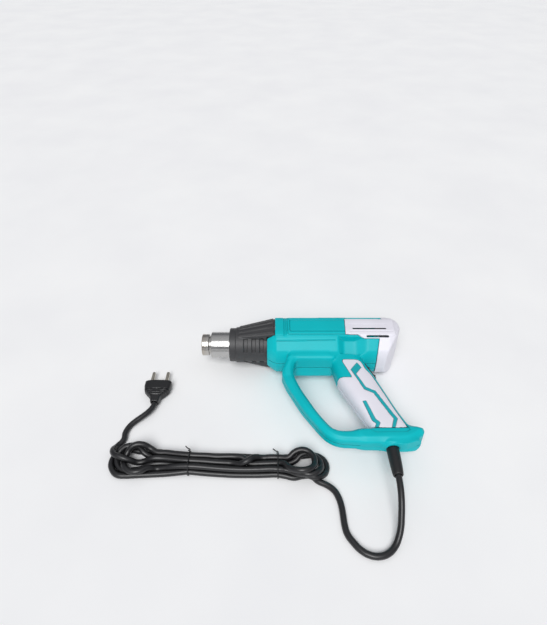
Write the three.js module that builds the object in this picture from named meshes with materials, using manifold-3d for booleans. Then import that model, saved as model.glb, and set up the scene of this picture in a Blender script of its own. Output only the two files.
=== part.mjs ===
// A hot-air gun with a closed D-shaped handle, lying on its side with its mains lead tied in a hank.
// Millimetres. The barrel runs along X with the nozzle towards -X, the handle hangs towards -Y,
// and Z is the gun's sideways direction: the gun lies on the side that faces -Z.
// Every piece is drawn about the barrel's axis, and the whole gun is lifted onto the floor at the end.
import * as THREE from "three";
import { mergeVertices } from "three/addons/utils/BufferGeometryUtils.js";
import Module from "manifold-3d";

const wasm = await Module();
wasm.setup();

// ---------- driving dimensions ----------
const GAP = 0.3; // clearance left between touching pieces
const WALL = 2.6; // wall of the moulded housing

const BARREL_HALF_Y = 36; // half height of the barrel's section
const BARREL_HALF_Z = 34; // half width of the barrel's section
const BARREL_FLAT_Y = 7; // half length of the flats on its sides
const BARREL_FLAT_Z = 3; // half length of the flats on its top and bottom
const SIDE_PAD = 1.5; // how far the side panels stand proud of the barrel
const LIE = BARREL_HALF_Z + SIDE_PAD; // height of the axis above the floor

const MOUTH_X = -96; // open end of the nozzle
const NOZZLE_STEP_X = -84.5; // where the narrow mouth meets the full nozzle tube
const NOZZLE_R = 17.5; // outside radius that push-on nozzles fit
const MOUTH_R = 14.6;
const MOUTH_BORE = 11.5;
const GUARD_FRONT_X = -58.7; // front of the black heat guard
const GUARD_R = 23.8;
const HOOD_FRONT_X = -50; // where the guard's ribbed hood begins
const HOOD_R = 35; // radius of the hood where it meets the housing
const BODY_FRONT_X = -8.5; // front ring of the housing
const BODY_FULL_X = 4; // where the housing reaches its full section
const COVER_X = 137; // where the rear cover begins to go all round
const WING_X = 93; // front edge of the rear cover's side wings
const WING_TOP_Y = 14; // top edge of the wings, under the teal strip
const REAR_X = 169; // rear face of the cover
const STRIP_BACK_X = 143.5; // where the strip above each wing ends

const DUCT_X = 12; // front of the air duct
const FAN_X = 50; // front of the impeller
const FAN_DEPTH = 16;
const FAN_R = 26;
const SHROUD_R = 30; // outside radius of the fan's shroud
const SHROUD_BACK_X = 69;
const MOTOR_X = 74; // front of the motor
const MOTOR_LENGTH = 48;
const MOTOR_R = 18.2;
const SHAFT_R = 1.6;

const HANDLE_STATIONS = [ // front edge, back edge, and half thickness, down the handle
  [[73, -25], [106, -14], 16], [[75, -47], [115, -38], 16.5], [[79.5, -71.8], [121, -54], 16.5],
  [[84.8, -84.2], [126.6, -66.3], 16.3], [[97.3, -111], [136.4, -94.1], 14.8],
  [[110, -134], [145.3, -118.8], 12.6], [[122, -158], [157.5, -146], 11.6],
];
const PAD_THICKNESS = 2.4; // of the soft grip pads
const BAR_HALF_Z = 10.5; // half thickness of the knuckle bar
const FOOT_HALF_Z = 12; // half thickness of the foot
const KEEL_HALF_Z = 18.5; // half thickness of the rib that the loop hangs from

const CORD_R = 3.5;
const CORD_Z = CORD_R - LIE; // height of a lead that lies on the floor
const SLEEVE_X = 131; // where the lead leaves the foot
const FOOT_BOTTOM_Y = -161;
const SLEEVE_END_Y = -198;

// ---------- materials ----------
const paint = (color, roughness, metalness = 0) =>
  new THREE.MeshStandardMaterial({ color, roughness, metalness });
const TEAL = paint(0x00a9b5, 0.45);
const WHITE = paint(0xe6e5ee, 0.5);
const BLACK = paint(0x2b2b2d, 0.6);
const STEEL = paint(0xc9c9cb, 0.3, 1);
const DULL_STEEL = paint(0x8d9095, 0.45, 1);
const MICA = paint(0xb9a47c, 0.7);
const BRASS = paint(0xb8944a, 0.35, 1);
const RUBBER = paint(0x161617, 0.65);
const COPPER_RED = paint(0x8a3b24, 0.6);
const BLUE = paint(0x2a4f9c, 0.6);

// ---------- solids ----------
// A closed geometry as a manifold-3d solid, and back.
function solid(geometry) {
  const bare = geometry.index ? geometry.toNonIndexed() : geometry.clone();
  bare.deleteAttribute("normal");
  bare.deleteAttribute("uv");
  const merged = mergeVertices(bare, 1e-4);
  return new wasm.Manifold(
    new wasm.Mesh({
      numProp: 3,
      vertProperties: merged.attributes.position.array,
      triVerts: new Uint32Array(merged.index.array),
    }),
  );
}

function geometryOf(made) {
  const m = made.getMesh();
  const places = new Float32Array(m.numVert * 3);
  for (let i = 0; i < m.numVert; i++) {
    places.set(m.vertProperties.subarray(i * m.numProp, i * m.numProp + 3), i * 3);
  }
  const g = new THREE.BufferGeometry();
  g.setAttribute("position", new THREE.BufferAttribute(places, 3));
  g.setIndex(new THREE.BufferAttribute(m.triVerts.slice(), 1));
  return g;
}

const join = (...all) => all.reduce((a, b) => a.add(b));
const cut = (a, ...tools) => tools.reduce((left, tool) => left.subtract(tool), a);

// A block between two corners.
function block(low, high) {
  const size = high.map((v, i) => v - low[i]);
  const g = new THREE.BoxGeometry(...size);
  g.translate(...low.map((v, i) => v + size[i] / 2));
  return solid(g);
}

// A round piece about a line parallel to X. The profile is a list of [x, radius].
function turned(profile, sides = 32, y = 0, z = 0) {
  const g = new THREE.LatheGeometry(profile.map(([x, r]) => new THREE.Vector2(r, x)), sides);
  g.rotateZ(-Math.PI / 2);
  g.translate(0, y, z);
  return facingOut(g);
}

// Turns a solid's faces outwards whichever way its profile ran.
function facingOut(g) {
  const made = solid(g);
  if (made.volume() > 0) return made;
  const bare = g.index ? g.toNonIndexed() : g;
  const p = bare.getAttribute("position");
  for (let i = 0; i < p.count; i += 3) {
    const [x, y, z] = [p.getX(i), p.getY(i), p.getZ(i)];
    p.setXYZ(i, p.getX(i + 1), p.getY(i + 1), p.getZ(i + 1));
    p.setXYZ(i + 1, x, y, z);
  }
  return solid(bare);
}

const rod = (x0, x1, r, sides = 24, y = 0, z = 0) =>
  turned([[x0, 0], [x0, r], [x1, r], [x1, 0]], sides, y, z);

// A round rod parallel to Z.
function pin(x, y, z0, z1, r, sides = 10) {
  const g = new THREE.CylinderGeometry(r, r, z1 - z0, sides);
  g.rotateX(Math.PI / 2);
  g.translate(x, y, (z0 + z1) / 2);
  return solid(g);
}

// A flat outline raised from z0 to z1, with its edges rounded by round.
function plate(points, z0, z1, round = 0, holes = []) {
  const shape = new THREE.Shape(points.map(([x, y]) => new THREE.Vector2(x, y)));
  holes.forEach((h) => shape.holes.push(new THREE.Path(h.map(([x, y]) => new THREE.Vector2(x, y)))));
  const g = new THREE.ExtrudeGeometry(shape, {
    depth: z1 - z0 - 2 * round,
    bevelEnabled: round > 0,
    bevelThickness: round,
    bevelSize: round,
    bevelOffset: -round,
    bevelSegments: 2,
    curveSegments: 8,
  });
  g.translate(0, 0, z0 + round);
  return solid(g);
}

// The barrel's section at one place along it: flats joined by quarter ellipses.
function sectionRing(x, halfY, halfZ, quarter = 4) {
  const share = halfY / BARREL_HALF_Y;
  const [fy, fz] = [BARREL_FLAT_Y * share, BARREL_FLAT_Z * share];
  const ring = [];
  [[1, 1], [-1, 1], [-1, -1], [1, -1]].forEach(([sy, sz], q) => {
    for (let i = 0; i <= quarter; i++) {
      const step = q % 2 ? quarter - i : i;
      const a = (step / quarter) * (Math.PI / 2);
      ring.push([x, sy * (fy + (halfY - fy) * Math.cos(a)), sz * (fz + (halfZ - fz) * Math.sin(a))]);
    }
  });
  return ring;
}

// A closed skin through rings of equal count, with a flat cap on each end.
function loft(rings) {
  const n = rings[0].length;
  const faces = [];
  const quad = (a, b, c, d) => faces.push(a, b, c, a, c, d);
  for (let k = 0; k + 1 < rings.length; k++) {
    for (let i = 0; i < n; i++) {
      const j = (i + 1) % n;
      quad(rings[k][i], rings[k + 1][i], rings[k + 1][j], rings[k][j]);
    }
  }
  [rings[0], [...rings[rings.length - 1]].reverse()].forEach((ring) => {
    const middle = [0, 1, 2].map((k) => ring.reduce((sum, p) => sum + p[k], 0) / n);
    ring.forEach((p, i) => faces.push(middle, p, ring[(i + 1) % n]));
  });
  const g = new THREE.BufferGeometry();
  g.setAttribute("position", new THREE.Float32BufferAttribute(faces.flat(), 3));
  return facingOut(g);
}

// The barrel between stations [x, inset]: inset shrinks the section all round.
const barrel = (stations, quarter) =>
  loft(stations.map(([x, inset]) => sectionRing(x, BARREL_HALF_Y - inset, BARREL_HALF_Z - inset, quarter)));

// A tube along a smooth curve through points.
function tube(points, r, sides, steps) {
  const ring = new THREE.Shape();
  for (let i = 0; i < sides; i++) {
    const a = (i / sides) * 2 * Math.PI;
    ring[i ? "lineTo" : "moveTo"](r * Math.cos(a), r * Math.sin(a));
  }
  const path = new THREE.CatmullRomCurve3(points.map((p) => new THREE.Vector3(...p)), false, "centripetal");
  return facingOut(new THREE.ExtrudeGeometry(ring, { steps, bevelEnabled: false, extrudePath: path }));
}

// ---------- the scene graph ----------
const gun = new THREE.Group();
function add(name, made, material) {
  const mesh = new THREE.Mesh(geometryOf(made), material);
  mesh.name = name;
  gun.add(mesh);
  return mesh;
}

// ---------- housing ----------
const BACK_OUT = 200; // beyond the gun in every direction

// Side view of the loop: knuckle bar and foot, with the finger opening.
const loopOutside = [
  [20, -22], [18.6, -38], [9.6, -58], [15.5, -77], [33.3, -114], [54, -146], [62, -154.5], [74, -160],
  [100, FOOT_BOTTOM_Y], [146, FOOT_BOTTOM_Y], [162, -154], [169.5, -147], [164, -142],
  [140, -142], [134, -120], [112, -60], [116, -22],
];
const loopInside = [
  [28.5, -42], [24.5, -58], [34, -86], [51, -120], [64, -140], [69, -144], [76, -146], [112, -144.5],
  [108, -134], [86, -76], [78, -44], [74, -42],
];
const keelOutline = [[18, -20], [20, -42.5], [77, -42.5], [84, -34], [84, -20]];
const footOutline = [
  [90, -146], [96, FOOT_BOTTOM_Y], [146, FOOT_BOTTOM_Y], [162, -154], [169.5, -147], [164, -142],
  [112, -142],
];

// The handle: a squared oval section that narrows towards the foot.
function handleForm(inset = 0) {
  const around = 16;
  const squareness = 0.62; // 1 is an ellipse, and less is squarer
  const bulge = (v) => Math.sign(v) * Math.abs(v) ** squareness;
  return loft(HANDLE_STATIONS.map(([front, back, halfZ]) => {
    const middle = [0, 1].map((k) => (front[k] + back[k]) / 2);
    const reach = Math.hypot(back[0] - front[0], back[1] - front[1]) / 2;
    const toBack = [0, 1].map((k) => (back[k] - middle[k]) / reach);
    return Array.from({ length: around }, (_, i) => {
      const a = ((i + 0.5) / around) * 2 * Math.PI;
      const across = (reach - inset) * bulge(Math.cos(a));
      const z = (halfZ - inset) * bulge(Math.sin(a));
      return [middle[0] + across * toBack[0], middle[1] + across * toBack[1], z];
    });
  }));
}

const BOSS_R = 12.5; // collar round the lead's way out
const BOSS_OUT = 2.4; // how far the collar stands out of the foot
const PANEL_HALF_Y = 17.5; // half height of the raised side panels
const STRAP_X = [BODY_FULL_X - 2, 13.5];
const PANEL_X = [16.5, WING_X - GAP];
// The outside of the housing, before it is hollowed.
function housingOutside() {
  const tub = barrel([[BODY_FRONT_X, 9], [-1, 2.6], [BODY_FULL_X, 0], [60, 0], [REAR_X, 0]]);
  const loop = plate(loopOutside, -BAR_HALF_Z, BAR_HALF_Z, 4, [loopInside]);
  const keel = plate(keelOutline, -KEEL_HALF_Z, KEEL_HALF_Z, 4);
  const foot = plate(footOutline, -FOOT_HALF_Z, FOOT_HALF_Z, 3);
  const boss = yRod(SLEEVE_X, FOOT_BOTTOM_Y - BOSS_OUT, FOOT_BOTTOM_Y + 6, BOSS_R, BOSS_R, 24)
    .intersect(block([0, -BACK_OUT, -FOOT_HALF_Z], [BACK_OUT, 0, FOOT_HALF_Z]));
  const straps = sidePads(STRAP_X, -PANEL_HALF_Y, PANEL_HALF_Y);
  const panels = sidePads(PANEL_X, -PANEL_HALF_Y, PANEL_HALF_Y);
  const strips = sidePads([WING_X - 1, STRIP_BACK_X], WING_TOP_Y + GAP, PANEL_HALF_Y);
  return join(tub, loop, keel, foot, handleForm(), boss, ...straps, ...panels, ...strips);
}

// A pair of raised panels that follow the barrel's curve, one on each side of it.
function sidePads([x0, x1], y0, y1) {
  const deep = BARREL_HALF_Z - 8;
  const swollen = barrel([[x0, -SIDE_PAD], [x1, -SIDE_PAD]]);
  return [
    swollen.intersect(block([x0, y0, deep], [x1, y1, BACK_OUT])),
    swollen.intersect(block([x0, y0, -BACK_OUT], [x1, y1, -deep])),
  ];
}

// A round rod parallel to Y.
function yRod(x, y0, y1, r, r1 = r, sides = 20, z = 0) {
  const g = new THREE.CylinderGeometry(r1, r, y1 - y0, sides);
  g.translate(x, (y0 + y1) / 2, z);
  return solid(g);
}

const WAIST_TILT = 42; // degrees between the waist's floor and the side panel

// The scooped waist under each side panel, above the handle, deepened by grow.
function waist(side, grow = 0) {
  const floor = 29 - grow;
  const outline = [[83 - grow, 50], [91 - grow, floor], [106 + grow, floor], [136 + grow, 50]];
  const g = new THREE.ExtrudeGeometry(new THREE.Shape(outline.map(([x, z]) => new THREE.Vector2(x, z))), {
    depth: 80,
    bevelEnabled: false,
  });
  const slab = facingOut(g.rotateX(Math.PI / 2).translate(0, 40, 0));
  const turnedSlab = slab.rotate([WAIST_TILT, 0, 0]);
  const kept = turnedSlab.intersect(block([60, -34, 0], [140, -17.6 + grow, BACK_OUT]));
  return side > 0 ? kept : kept.scale([1, 1, -1]);
}

// The ribbed hood of the heat guard: a flaring shell over its top and sides.
function hoodForm(grow) {
  const flare = turned([
    [HOOD_FRONT_X - grow, 0], [HOOD_FRONT_X - grow, GUARD_R - 1 + grow],
    [BODY_FULL_X - 2 + grow, HOOD_R + grow], [BODY_FULL_X - 2 + grow, 0],
  ], 28);
  const above = plate([
    [HOOD_FRONT_X - 9, -8 - grow], [BODY_FULL_X + 2, -15 - grow], [BODY_FULL_X + 2, 60],
    [HOOD_FRONT_X - 9, 60],
  ], -60, 60);
  return flare.intersect(above);
}

// Fasteners: place, the depth of the head's seat on the far side, and the height of the tip.
const BARREL_SEAT = 15;
const SCREWS = [
  [20, 27.5, BARREL_SEAT, 8], [20, -28, BARREL_SEAT, 8], [82, 27.5, BARREL_SEAT, 8],
  [128, 27.5, BARREL_SEAT, 8],
  [86, -52, 10, 8], [129, -127, 8.5, 7],
  [38.6, -110, 5, 6.5], [82, -153, 5, 6.5], [158, -149.5, 5, 6.5],
];
const SCREW_R = 1.6;
const SCREW_HEAD_R = 3.1;
const SCREW_BOSS_R = 4;

const WIRE_WAY_HALF = 8.4;
const GROOVE_X = [-4, -0.6]; // the groove that holds the heat guard's rear flange
const GROOVE_R = 27.6;
const FRONT_WALL = 4; // the wall is thicker where the housing closes in on the guard

// The hollow of the housing: barrel, handle, and the lead's way through the foot.
function housingInside() {
  const tub = barrel([
    [GROOVE_X[1], WALL + FRONT_WALL], [BODY_FULL_X + 2, WALL], [60, WALL], [REAR_X + 1, WALL],
  ]);
  const grip = handleForm(PAD_THICKNESS + WALL).intersect(block([0, -140, -60], [BACK_OUT, 0, 60]));
  const wireWay = block([SLEEVE_X - 9, -153.6, -WIRE_WAY_HALF], [SLEEVE_X + 9, -134, WIRE_WAY_HALF]);
  return cut(join(tub, grip, wireWay), waist(1, WALL), waist(-1, WALL));
}

// Space that the rear cover fills, seen from the side, grown by the clearance.
function coverSpace(grow) {
  const cap = plate([
    [STRIP_BACK_X + GAP - grow, 60], [STRIP_BACK_X + GAP - grow, WING_TOP_Y - 1],
    [COVER_X - grow, WING_TOP_Y - 1], [COVER_X - grow, -20], [134 - grow, -34], [131 - grow, -60],
    [BACK_OUT, -60], [BACK_OUT, 60],
  ], -60, 60);
  const wing = plate([
    [WING_X - grow, -14 - grow], [108, -14 - grow], [118 - grow, -19 - grow], [COVER_X + 3, -19 - grow],
    [COVER_X + 3, WING_TOP_Y + grow], [WING_X - grow, WING_TOP_Y + grow],
  ], -60, 60);
  const inner = BARREL_HALF_Z - WALL - 1 - grow;
  return join(cap, cut(wing, block([0, -60, -inner], [BACK_OUT, 60, inner])));
}

// The switch's window, in the back of the handle near the top.
const ROCKER_AT = [122, -56]; // on the handle's back
const ROCKER_TURN = 22; // degrees, from +X
const SWITCH_HALF_LENGTH = 13;
const SWITCH_HALF_WIDTH = 8;
// Places a solid drawn about the rocker's window: +X out of the handle's back, +Y up along it.
const atRocker = (made) => made.rotate([0, 0, ROCKER_TURN]).translate([...ROCKER_AT, 0]);

// Side view of the soft pads: notched at the top front for the forefinger, with a spine left behind.
const padOutline = [
  [85.5, -43], [107, -43.5], [111, -46], [113, -51], [114.5, -58], [121.5, -68.5], [141, -120],
  [154, -152], [108, -152], [68, -90], [70, -67.5], [84, -70.6], [90, -72.3], [96.3, -73.6],
];
const padSpace = (inset) => {
  const whole = plate(padOutline, -60, 60);
  return inset ? cut(whole, ringAround(padOutline, inset)) : whole;
};

// A thin wall along an outline, to leave a gap beside it.
function ringAround(points, thick) {
  return join(...points.map(([x, y], i) => {
    const [nx, ny] = points[(i + 1) % points.length];
    const long = Math.hypot(nx - x, ny - y);
    const turn = (Math.atan2(ny - y, nx - x) * 180) / Math.PI;
    const wall = block([-thick, -thick, -70], [long + thick, thick, 70]);
    return wall.rotate([0, 0, turn]).translate([x, y, 0]);
  }));
}

function housing() {
  let shell = cut(housingOutside(), housingInside(), coverSpace(GAP), hoodForm(GAP));
  const guardWay = rod(BODY_FRONT_X - 1, GROOVE_X[1] + 1, GUARD_R + 2 * GAP, 28);
  shell = cut(shell, guardWay, rod(...GROOVE_X, GROOVE_R, 28));
  shell = cut(shell, waist(1), waist(-1));
  shell = cut(shell, cut(padSpace(0), handleForm(PAD_THICKNESS), frameOutsideHandle()));
  shell = cut(shell, atRocker(block([-30, -SWITCH_HALF_LENGTH - GAP, -SWITCH_HALF_WIDTH - GAP],
    [6, SWITCH_HALF_LENGTH + GAP, SWITCH_HALF_WIDTH + GAP])));
  const outside = housingOutside();
  SCREWS.forEach(([x, y, seat]) => {
    shell = join(shell, pin(x, y, -seat - WALL, seat, SCREW_BOSS_R).intersect(outside));
  });
  SCREWS.forEach(([x, y, seat, tip]) => {
    const headWay = pin(x, y, -60, -seat - GAP, SCREW_HEAD_R + GAP);
    shell = cut(shell, headWay, pin(x, y, -seat - 1, tip + 1, SCREW_R + GAP));
  });
  return cut(join(shell, clampSaddle()), sleeveSeat());
}

// The saddle that the lead is clamped down on, with pilot holes for the clamp's screws.
const CLAMP_Y = [-151, -145];
const CLAMP_MIDDLE = (CLAMP_Y[0] + CLAMP_Y[1]) / 2;
const CLAMP_SCREW_X = [SLEEVE_X - 6.6, SLEEVE_X + 6.6];
const clampSaddle = () => cut(
  block([SLEEVE_X - 9.1, CLAMP_Y[0], -WIRE_WAY_HALF - 1], [SLEEVE_X + 9.1, CLAMP_Y[1], -GAP]),
  yRod(SLEEVE_X, -160, -140, CORD_R + GAP),
  ...CLAMP_SCREW_X.map((x) => pin(x, CLAMP_MIDDLE, -7, 1, 1.4)),
);

// Keeps the pads' recess out of the keel and the foot.
const frameOutsideHandle = () => join(
  plate(keelOutline, -KEEL_HALF_Z, KEEL_HALF_Z, 4),
  plate(footOutline, -FOOT_HALF_Z, FOOT_HALF_Z, 3),
);

// The bore and groove that hold the strain relief and its flange in the foot.
const FLANGE_Y = [-157.5, -154.5];
const FLANGE_R = 9;
const SLEEVE_R = 7;
const sleeveSeat = () => join(
  yRod(SLEEVE_X, FOOT_BOTTOM_Y - 5, -150, SLEEVE_R + GAP),
  yRod(SLEEVE_X, FLANGE_Y[0] - GAP, FLANGE_Y[1] + GAP, FLANGE_R + GAP),
);

const wholeHousing = housing();
const half = (made, side) =>
  made.intersect(side > 0
    ? block([-120, -220, GAP / 2], [BACK_OUT, 60, 60])
    : block([-120, -220, -60], [BACK_OUT, 60, -GAP / 2]));
const largest = (made) => made.decompose().sort((a, b) => b.volume() - a.volume())[0];
add("housing_left", largest(half(wholeHousing, 1)), TEAL);
add("housing_right", largest(half(wholeHousing, -1)), TEAL);

// ---------- grip pads ----------
const padForm = cut(
  handleForm(), handleForm(PAD_THICKNESS - GAP), frameOutsideHandle(),
  ...SCREWS.map(([x, y]) => pin(x, y, -60, 0, SCREW_BOSS_R + GAP)),
).intersect(padSpace(GAP));
add("grip_pad_left", largest(half(padForm, 1)), WHITE);
add("grip_pad_right", largest(half(padForm, -1)), WHITE);

// ---------- rear cover ----------
const SLOTS = [[103, 147, -6], [120, 149, -18]]; // front, rear, and height of each long slot
const SLOT_HALF = 1.5;
const REAR_SLOTS = [-18, -11, -4, 4, 11, 18];

function rearCover() {
  const dome = (thin, back) => [
    [60, thin], [150 + back, thin], [158 + back, 1.5 + thin], [164 + back, 4.5 + thin],
    [167.5 + back, 8 + thin], [REAR_X + back, 11 + thin],
  ];
  const slope = plate([
    [60, 60], [146, 60], [152, 36], [160, 30], [167, 19], [REAR_X, 13], [REAR_X, 4], [163, -5], [162, -12],
    [151, -29], [142, -42], [135, -60], [60, -60],
  ], -60, 60);
  const skin = join(barrel(dome(-0.8, 0)), ...sidePads([WING_X, 156], -17, WING_TOP_Y));
  const outside = skin.intersect(slope);
  const inside = barrel(dome(1.8, -WALL)).intersect(slope.translate([-WALL, 0, 0]));
  let cover = cut(outside.intersect(coverSpace(0)), inside);
  SLOTS.forEach(([x0, x1, y]) => {
    cover = cut(cover, block([x0, y - SLOT_HALF, -60], [x1, y + SLOT_HALF, 60]));
  });
  REAR_SLOTS.forEach((z) => {
    cover = cut(cover,
      block([REAR_X - 14, -14, z - SLOT_HALF], [REAR_X, -7, z + SLOT_HALF]),
      block([REAR_X - 14, 15, z - SLOT_HALF], [REAR_X + 1, 26, z + SLOT_HALF]));
  });
  return largest(cover);
}
add("rear_cover", rearCover(), WHITE);

// ---------- heat guard and nozzle ----------
const POCKET_X = [-36.8, -26.1, -15.8]; // middles of the pockets in each side of the guard
const POCKET_HALF_X = 2.8;
const POCKET_FLOOR_R = 22;
function heatGuard() {
  const front = [
    [GUARD_FRONT_X, 18.4], [GUARD_FRONT_X, 21.4], [GUARD_FRONT_X + 1.2, 22.6], [HOOD_FRONT_X, 22.6],
  ];
  const back = [
    [HOOD_FRONT_X, GUARD_R], [GROOVE_X[0] + GAP, GUARD_R], [GROOVE_X[0] + GAP, GROOVE_R - GAP],
    [GROOVE_X[1] - GAP, GROOVE_R - GAP], [GROOVE_X[1] - GAP, 21], [HOOD_FRONT_X - 2, 20.4],
    [HOOD_FRONT_X - 6, 18.4],
  ];
  const sleeve = turned([...front, ...back, front[0]], 28);
  const bore = turned([
    [HOOD_FRONT_X - 10, 0], [HOOD_FRONT_X - 10, 22], [BODY_FULL_X, 23], [BODY_FULL_X, 0],
  ], 28);
  const hood = cut(hoodForm(0), bore, rod(BODY_FRONT_X, BODY_FULL_X + 3, GROOVE_R + WALL, 28));
  let guard = join(sleeve, hood);
  POCKET_X.forEach((x) => {
    const ends = [x - POCKET_HALF_X, x + POCKET_HALF_X];
    const ringCut = cut(rod(...ends, GUARD_R + 1, 28), rod(ends[0] - 1, ends[1] + 1, POCKET_FLOOR_R, 28));
    const sides = [block([-80, -22.6, 7.4], [0, -11.2, 30]), block([-80, -22.6, -30], [0, -11.2, -7.4])];
    sides.forEach((side) => {
      guard = cut(guard, ringCut.intersect(side));
    });
  });
  return largest(guard);
}
add("nozzle_guard", heatGuard(), BLACK);

const TUBE_WALL = 1;
const TUBE_BACK_X = 8;
const TUBE_FLANGE_R = 21;
add("nozzle_tube", turned([
  [NOZZLE_STEP_X, 12.6], [NOZZLE_STEP_X, NOZZLE_R - 1], [NOZZLE_STEP_X + 1, NOZZLE_R], [TUBE_BACK_X, NOZZLE_R],
  [TUBE_BACK_X, TUBE_FLANGE_R], [TUBE_BACK_X + TUBE_WALL, TUBE_FLANGE_R],
  [TUBE_BACK_X + TUBE_WALL, NOZZLE_R - TUBE_WALL], [NOZZLE_STEP_X + 1.5, NOZZLE_R - TUBE_WALL],
  [NOZZLE_STEP_X + 1.5, 12.6], [NOZZLE_STEP_X, 12.6],
], 28), STEEL);
add("nozzle_mouth", turned([
  [MOUTH_X, MOUTH_BORE], [MOUTH_X, MOUTH_R], [-89.5, MOUTH_R], [-89, MOUTH_R - 1.2], [-86.8, MOUTH_R - 1.2],
  [-86.3, MOUTH_R], [NOZZLE_STEP_X - GAP, MOUTH_R], [NOZZLE_STEP_X - GAP, 12.3],
  [NOZZLE_STEP_X + 1.8, 12.3], [NOZZLE_STEP_X + 1.8, 13.6], [NOZZLE_STEP_X + 2.8, 13.6],
  [NOZZLE_STEP_X + 2.8, MOUTH_BORE], [MOUTH_X, MOUTH_BORE],
], 24), STEEL);

// ---------- heater ----------
const MICA_R = 16.1;
const HEATER_X = [-72, 4];
const COIL_R = 13.9;
const COIL_WIRE_R = 0.55;
const CORE_HALF = 12.2;
add("heater_tube", turned([
  [HEATER_X[0], MICA_R - 0.7], [HEATER_X[0], MICA_R], [HEATER_X[1], MICA_R], [HEATER_X[1], MICA_R - 0.7],
  [HEATER_X[0], MICA_R - 0.7],
], 32), MICA);
const coreX = [HEATER_X[0] + 6, HEATER_X[1] - 4];
add("heater_core", join(
  block([coreX[0], -CORE_HALF, -0.6], [coreX[1], CORE_HALF, 0.6]),
  block([coreX[0], -0.6, -CORE_HALF], [coreX[1], 0.6, CORE_HALF]),
), MICA);

function heaterCoil() {
  const turns = 8;
  const stepsPerTurn = 8;
  const points = [];
  for (let i = 0; i <= turns * stepsPerTurn; i++) {
    const a = (i / stepsPerTurn) * 2 * Math.PI;
    const x = coreX[0] + 2 + (i / (turns * stepsPerTurn)) * (coreX[1] - coreX[0] - 4);
    points.push([x, COIL_R * Math.cos(a), COIL_R * Math.sin(a)]);
  }
  return tube(points, COIL_WIRE_R, 5, turns * stepsPerTurn);
}
add("heater_coil", heaterCoil(), DULL_STEEL);

function heaterGrille() {
  const ring = turned([[-70.5, 12], [-70.5, 15.1], [-68.5, 15.1], [-68.5, 12], [-70.5, 12]], 28);
  const bars = [0, 60, 120].map((a) => block([-70.5, -12.6, -1], [-68.5, 12.6, 1]).rotate([a, 0, 0]));
  return join(ring, ...bars);
}
add("heater_grille", heaterGrille(), MICA);
add("thermal_fuse", rod(1, 11, 1.6, 12, 8, 4), DULL_STEEL);

const DUCT_WALL = 1.6;
add("air_duct", turned([
  [TUBE_BACK_X + TUBE_WALL + GAP, 17], [TUBE_BACK_X + TUBE_WALL + GAP, TUBE_FLANGE_R],
  [DUCT_X, TUBE_FLANGE_R], [FAN_X - 4, SHROUD_R], [FAN_X - 4, SHROUD_R - DUCT_WALL], [DUCT_X, 17],
  [TUBE_BACK_X + TUBE_WALL + GAP, 17],
], 24), BLACK);

// ---------- motor and fan ----------
const MOTOR_SCREW_Y = [6.2, -6.2];
const HUB_BORE = 3.4;
function fanShroud() {
  const x0 = FAN_X - 4 + GAP;
  const shell = turned([
    [x0, SHROUD_R - 1.8], [x0, SHROUD_R], [SHROUD_BACK_X, SHROUD_R], [SHROUD_BACK_X, HUB_BORE],
    [SHROUD_BACK_X - 2, HUB_BORE], [SHROUD_BACK_X - 2, SHROUD_R - 1.8], [x0, SHROUD_R - 1.8],
  ], 24);
  let made = join(shell, turned([
    [SHROUD_BACK_X - 0.5, HUB_BORE], [SHROUD_BACK_X - 0.5, 9], [MOTOR_X - GAP, 9],
    [MOTOR_X - GAP, HUB_BORE], [SHROUD_BACK_X - 0.5, HUB_BORE],
  ], 16));
  for (let i = 0; i < 6; i++) {
    const a = ((i + 0.5) * Math.PI) / 3;
    made = cut(made, rod(SHROUD_BACK_X - 4, SHROUD_BACK_X + 1, 4.6, 8, 18 * Math.cos(a), 18 * Math.sin(a)));
  }
  MOTOR_SCREW_Y.forEach((y) => {
    made = cut(made,
      rod(SHROUD_BACK_X - 4, MOTOR_X + 1, 1.6, 12, y, 0),
      rod(SHROUD_BACK_X - 3, SHROUD_BACK_X - 0.4, 3.1, 12, y, 0));
  });
  return made;
}
add("fan_shroud", fanShroud(), BLACK);

function impeller() {
  const x1 = FAN_X + FAN_DEPTH;
  const parts = [
    turned([[x1 - 1.6, 2], [x1 - 1.6, FAN_R], [x1, FAN_R], [x1, 2], [x1 - 1.6, 2]], 28),
    turned([[FAN_X, 2], [FAN_X, 4.4], [x1 - 0.8, 6.5], [x1 - 0.8, 2], [FAN_X, 2]], 16),
  ];
  for (let i = 0; i < 9; i++) {
    const blade = plate([[FAN_X + 1, 4], [FAN_X + 4, FAN_R - 1], [x1 - 1, FAN_R - 1], [x1 - 1, 4]], -0.7, 0.7);
    parts.push(blade.rotate([i * 40, 0, 0]));
  }
  return cut(join(...parts), rod(FAN_X - 1, x1 + 1, SHAFT_R + GAP, 12));
}
add("fan_impeller", impeller(), BLACK);

const MOTOR_BACK_X = MOTOR_X + MOTOR_LENGTH;
add("motor_can", cut(turned([
  [MOTOR_X, 2.2], [MOTOR_X, MOTOR_R - 1], [MOTOR_X + 1, MOTOR_R], [MOTOR_BACK_X, MOTOR_R],
  [MOTOR_BACK_X, MOTOR_R - 1.2], [MOTOR_X + 1.4, MOTOR_R - 1.2], [MOTOR_X + 1.4, 2.2], [MOTOR_X, 2.2],
], 32), ...MOTOR_SCREW_Y.map((y) => rod(MOTOR_X - 1, MOTOR_X + 2, 1.4, 12, y, 0))), DULL_STEEL);
add("motor_cap", turned([
  [MOTOR_BACK_X + GAP, 2.2], [MOTOR_BACK_X + GAP, MOTOR_R], [MOTOR_BACK_X + 2, MOTOR_R],
  [MOTOR_BACK_X + 4, 6], [MOTOR_BACK_X + 4, 2.2], [MOTOR_BACK_X + GAP, 2.2],
], 24), BLACK);
const MAGNET_X = [MOTOR_X + 8, MOTOR_X + 40];
const MAGNET_R = [12.4, 16.6];
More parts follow.
